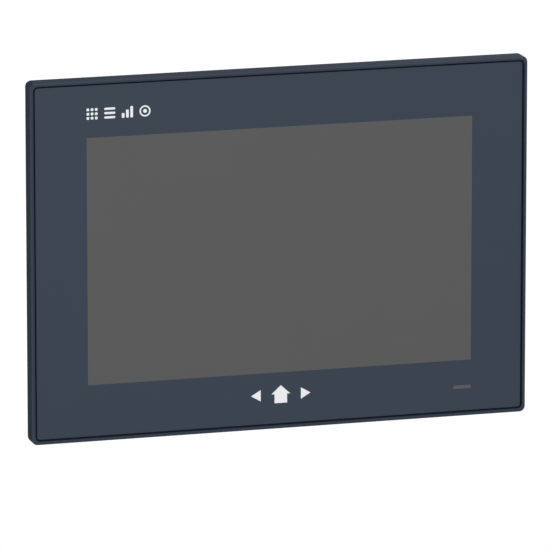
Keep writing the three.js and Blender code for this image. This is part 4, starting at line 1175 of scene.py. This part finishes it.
def ground_terminal():
    place = at(PORT_X.ground, TERMINAL_Y, UNDERSIDE)
    stud = [(1.5, -9.6), *threaded(1.9, -9.3, -0.2, 0.75), (1.9, 1.3), (3.4, 1.35), (3.4, 3.1), (3.1, 3.3)]
    turned_piece("ground_stud", stud, "z", place)
    washer = [(SCREW_HOLE, -1), (4.25, -1), (4.4, -0.85), (4.4, -0.25), (4.25, -0.1), (SCREW_HOLE, -0.1)]
    turned_piece("ground_washer", washer, "z", place, closed=True)
    stand_in("ground_nut", moved(ground_nut(), place))


# ---- Screw clamps, drawn on an upright wall at z = 0 and then put in place ----


def clamp_body():
    """Base plate on the wall, ear for the screw with two gussets, and two hooks through the wall."""
    bm = bmesh.new()
    prism(bm, rounded(16, 11.5, 1.2, 0, 20.75), 0.1, 1.9, "z", 0.25)
    top, half, round_off = 8.8, 6.5, 2.6
    ear = [(-half, 0.3), (half, 0.3), *arc(half - round_off, top - round_off, round_off, 0, 90, 6),
           *arc(-half + round_off, top - round_off, round_off, 90, 180, 6)]
    prism(bm, ear, 21.5, 26.5, "y", 0.35)
    for x in (-5.7, 5.7):
        gusset = [(16.0, 1.7), (21.7, 1.7), (21.7, 6.5)]
        prism(bm, gusset, x - 0.8, x + 0.8, "x", 0.15)
    for x in (-5.0, 5.0):
        block(bm, (x - 1.7, 19.2, -1.6), (x + 1.7, 21.6, 0.4), 0.1)
        block(bm, (x - 1.7, 19.2, -2.5), (x + 1.7, 24.0, -1.3), 0.2)
    tools = bmesh.new()
    prism(tools, circle(SCREW_HOLE, 0, SCREW_HEIGHT, 24), 20, 28, edge=0)
    return carved(bm, tools)


CLAMP_FOOT = [(2.7, 0), (3.0, 0.3), (3.0, 1.5), (2.8, 1.7), (2.55, 2.8), (2.4, 3.1), (1.6, 3.1), (1.6, 1.2)]


def clamp_screw():
    """Screw with a round tip, a thread and a pan head, drawn with the foot's tip at y = 0."""
    head = 15.6
    profile = [(1.0, 1.3), (1.3, 1.6), (1.3, 3.2), *threaded(1.9, 3.2, head - 0.4), (1.9, head),
               (3.1, head), (3.3, head + 0.25), (3.25, head + 1.6), (2.9, head + 2.6),
               (2.3, head + 2.95), (1.2, head + 3.0)]
    bm = bmesh.new()
    turned(bm, profile)
    tools = bmesh.new()
    cross_recess(tools, 3.9, 1.8, head + 3.0)
    return carved(bm, tools)


def clamps():
    """The two lower clamps are the upper ones turned half round."""
    places = [(x, up) for up in (1, -1) for x in (-CLAMP_X, CLAMP_X)]
    for i, (x, up) in enumerate(places):
        turn = Matrix.Rotation(0 if up > 0 else pi, 4, "Y")
        place = at(x, 0, up * TRAY.height / 2) @ turn
        screw_place = place @ at(0, FOOT_TIP, SCREW_HEIGHT)
        stand_in(f"clamp_body_{i + 1}", moved(clamp_body(), place))
        turned_piece(f"clamp_foot_{i + 1}", CLAMP_FOOT, "y", screw_place)
        stand_in(f"clamp_screw_{i + 1}", moved(clamp_screw(), screw_place))


# ---- Inside of the box ----

BOARD_LOOKS = ["circuit_board", "chip_plastic", "port_shell", "gold_contact", "black_plastic"]
GREEN_BOARD, CHIP, METAL, GOLD, BLACK = range(5)


def on_board(bm, width, height, depth, x, z, material, edge=0.15):
    """A soldered part that stands on the main board."""
    y = BOARD_TOP - 0.1
    low, high = (x - width / 2, y, z - height / 2), (x + width / 2, y + depth + 0.1, z + height / 2)
    block(bm, low, high, edge, material)


def main_board():
    """Board with its soldered parts: processor, chips, chokes, capacitors, sockets and small parts."""
    y = BOARD_TOP
    bm = bmesh.new()
    prism(bm, rounded(218, 148, 2, 0, -1), y - 1.6, y, edge=0.1, material=GREEN_BOARD)
    tools = bmesh.new()
    cable_hole(tools, y)
    bm = carved(bm, tools)
    on_board(bm, 26, 26, 1.2, -8, -34, CHIP)
    on_board(bm, 14, 10, 2.2, -8, -34, METAL)
    for width, height, x, z in ((14, 14, 34, -34), (11, 18, -44, -44), (9, 9, 60, -48), (7, 5, 52, -8),
                                (6, 8, -40, 52), (5, 5, -20, 60)):
        on_board(bm, width, height, 1.2, x, z, CHIP)
    on_board(bm, 6, 6, 9, PORT_X.button, UNDERSIDE + 10.5, BLACK)
    for x in spread(3, 12, -72):
        on_board(bm, 8, 8, 5, x, -22, CHIP, 0.6)
    for x in spread(4, 9, 62):
        turned(bm, [(3, y - 0.1), (3, y + 6.6), (2.6, y + 7.0)], u=x, v=-28, material=METAL, steps=20)
    for x in spread(9, 5, 30):
        on_board(bm, 2.0, 1.2, 0.8, x, -62 + 4 * sin(x), METAL, 0.1)
    for z in spread(8, 4, -40):
        on_board(bm, 1.2, 2.0, 0.7, -26, z, METAL, 0.1)
    block(bm, (-103, y - 0.1, 4.1), (-29, y + 4.8, 10.7), 0.2, BLACK)
    block(bm, (-103, y + 4.7, 4.1), (-29, y + 6.6, 7.5), 0.2, BLACK)
    for x in (-101, -31):
        on_board(bm, 3.4, 26, 4.9, x, 21.4, METAL)
    on_board(bm, 25, 25, 1.0, -84, 55, BLACK, 0.4)
    for x in (-96, -72):
        on_board(bm, 3, 12, 4.2, x, 55, BLACK, 0.3)
    stand_in("main_board", bm, BOARD_LOOKS)


def memory_module():
    """Module board with four chips and a row of gold fingers at the edge in the socket."""
    bm = bmesh.new()
    y = BOARD_TOP + 5
    prism(bm, rounded(67.6, 30, 1, -66, 23.4), y, y + 1.2, edge=0.08)
    for x in spread(4, 15.5, -66):
        block(bm, (x - 5.5, y + 1.1, 22.4), (x + 5.5, y + 2.3, 30.4), 0.12, CHIP)
    for x in spread(40, 1.5, -66):
        block(bm, (x - 0.4, y + 1.12, 8.6), (x + 0.4, y + 1.26, 11.4), 0, GOLD)
    stand_in("memory_module", bm, BOARD_LOOKS)


def coin_cell():
    profile = [(8.6, 0), (8.8, 0.1), (8.9, 0.6), (9.8, 0.65), (10.0, 0.9), (10.0, 2.8), (9.7, 3.15),
               (8.8, 3.2)]
    turned_piece("coin_cell", profile, "y", at(-84, BOARD_TOP + 1.1, 55), steps=48)


# How far the edges are eased of the inner pieces that keep their CAD mesh.
SOFTENED = {
    0.05: ("glass_adhesive_tape", "touch_sensor", "touch_flat_cable", "display_flat_cable"),
    0.1: ("status_light_pipe", "status_led_board", "lcd_cell", "touch_controller_board"),
    0.15: ("lcd_bracket", "drive_guide"),
    0.2: ("backlight_unit",),
    0.3: ("thermal_block",),
}

# ---- Floor, light and camera ----

FLOOR = Sizes(z=-0.42, half=9.0)
WHITE_LEVEL = 1.06
AMBIENT = 0.5


def seen_or_felt(tree, seen, felt):
    """A level for what the camera sees directly, and another for the light that reaches the object."""
    path = tree.nodes.new("ShaderNodeLightPath")
    level = tree.nodes.new("ShaderNodeMapRange")
    tree.links.new(path.outputs["Is Camera Ray"], level.inputs["Value"])
    level.inputs["To Min"].default_value = felt
    level.inputs["To Max"].default_value = seen
    return level.outputs["Result"]


def studio_world():
    world = bpy.data.worlds.new("studio")
    bpy.context.scene.world = world
    world.use_nodes = True
    background = world.node_tree.nodes["Background"]
    background.inputs["Color"].default_value = (1, 1, 1, 1)
    level = seen_or_felt(world.node_tree, WHITE_LEVEL, AMBIENT)
    world.node_tree.links.new(level, background.inputs["Strength"])


def floor_material():
    """Plain pale floor. Seen from underneath it is clear, so that it never hides the object."""
    material = bpy.data.materials.new("pale_floor")
    material.use_nodes = True
    tree = material.node_tree
    tree.nodes.clear()
    output = tree.nodes.new("ShaderNodeOutputMaterial")
    pale = tree.nodes.new("ShaderNodeEmission")
    pale.inputs["Color"].default_value = (1, 1, 1, 1)
    tree.links.new(seen_or_felt(tree, WHITE_LEVEL, AMBIENT), pale.inputs["Strength"])
    clear = tree.nodes.new("ShaderNodeBsdfTransparent")
    below = tree.nodes.new("ShaderNodeNewGeometry")
    either = tree.nodes.new("ShaderNodeMixShader")
    tree.links.new(below.outputs["Backfacing"], either.inputs[0])
    tree.links.new(pale.outputs[0], either.inputs[1])
    tree.links.new(clear.outputs[0], either.inputs[2])
    tree.links.new(either.outputs[0], output.inputs["Surface"])
    return material


def floor():
    bm = bmesh.new()
    half, z = FLOOR.half, FLOOR.z
    bm.faces.new([bm.verts.new(p) for p in ((-half, -half, z), (half, -half, z), (half, half, z),
                                            (-half, half, z))])
    made = scene_object("floor", bm)
    made.data.materials.append(floor_material())


def direction(azimuth, elevation):
    """Unit vector from the object towards a place round it. Azimuth 0 is in front and grows to the right."""
    a, e = radians(azimuth), radians(elevation)
    return Vector((sin(a) * cos(e), -cos(a) * cos(e), sin(e)))


def soft_light(name, azimuth, elevation, level, distance=2.2, size=1.3):
    """Square light that faces the object. Its level is the brightness it gives a white face turned to it."""
    lamp = bpy.data.lights.new(name, "AREA")
    lamp.shape = "SQUARE"
    lamp.size = size
    lamp.energy = pi * pi * distance ** 2 * level
    made = bpy.data.objects.new(name, lamp)
    bpy.context.scene.collection.objects.link(made)
    back = direction(azimuth, elevation)
    made.location = back * distance
    made.rotation_mode = "QUATERNION"
    made.rotation_quaternion = back.to_track_quat("Z", "Y")
    return made


CAMERA = Sizes(azimuth=-16.24, elevation=12.72, distance=4.04, focal_px=7371.0, right=-0.00146,
               up=-0.01499, depth=0.0062)
IMAGE_SIDE = 550
SENSOR = 36.0


def camera():
    lens = bpy.data.cameras.new("photo_view")
    lens.sensor_width = SENSOR
    lens.lens = CAMERA.focal_px * SENSOR / IMAGE_SIDE
    lens.clip_start, lens.clip_end = 0.1, 60
    made = bpy.data.objects.new("photo_view", lens)
    bpy.context.scene.collection.objects.link(made)
    back = direction(CAMERA.azimuth, CAMERA.elevation)
    turn = back.to_track_quat("Z", "Y")
    right, up = turn @ Vector((1, 0, 0)), turn @ Vector((0, 1, 0))
    aim = Vector((0, CAMERA.depth, 0)) + right * CAMERA.right + up * CAMERA.up
    made.location = aim + back * CAMERA.distance
    made.rotation_mode = "QUATERNION"
    made.rotation_quaternion = turn
    bpy.context.scene.camera = made


def studio():
    studio_world()
    floor()
    soft_light("key_light", -5, 21, 0.545, 2.6)
    soft_light("back_light", 134, 15, 0.85)
    soft_light("side_light", 84, 14, 0.25)
    camera()
    bpy.context.scene.view_settings.view_transform = "Standard"


# ---- The object, part by part ----

front_bezel()
cover_glass()
status_light_window()
top_symbols()
bottom_symbols()
panel_gasket()
display_tray()
box_chassis()
heat_sink()
heat_sink_screws()
service_door()
door_hinge_pin()
thumbscrews()
drive_tray()
solid_state_drive()
for number, port_x in enumerate(PORT_X.usb):
    usb_port_pair(f"usb_port_pair_{number + 1}", port_x)
for number, port_x in enumerate(PORT_X.lan):
    ethernet_port(f"ethernet_port_{number + 1}", port_x)
video_port()
serial_port()
dc_power_header()
dc_power_plug()
wire_screws()
power_button()
ground_terminal()
clamps()
main_board()
memory_module()
coin_cell()
for easing, node_names in SOFTENED.items():
    for node_name in node_names:
        softened(node_name, easing)
studio()
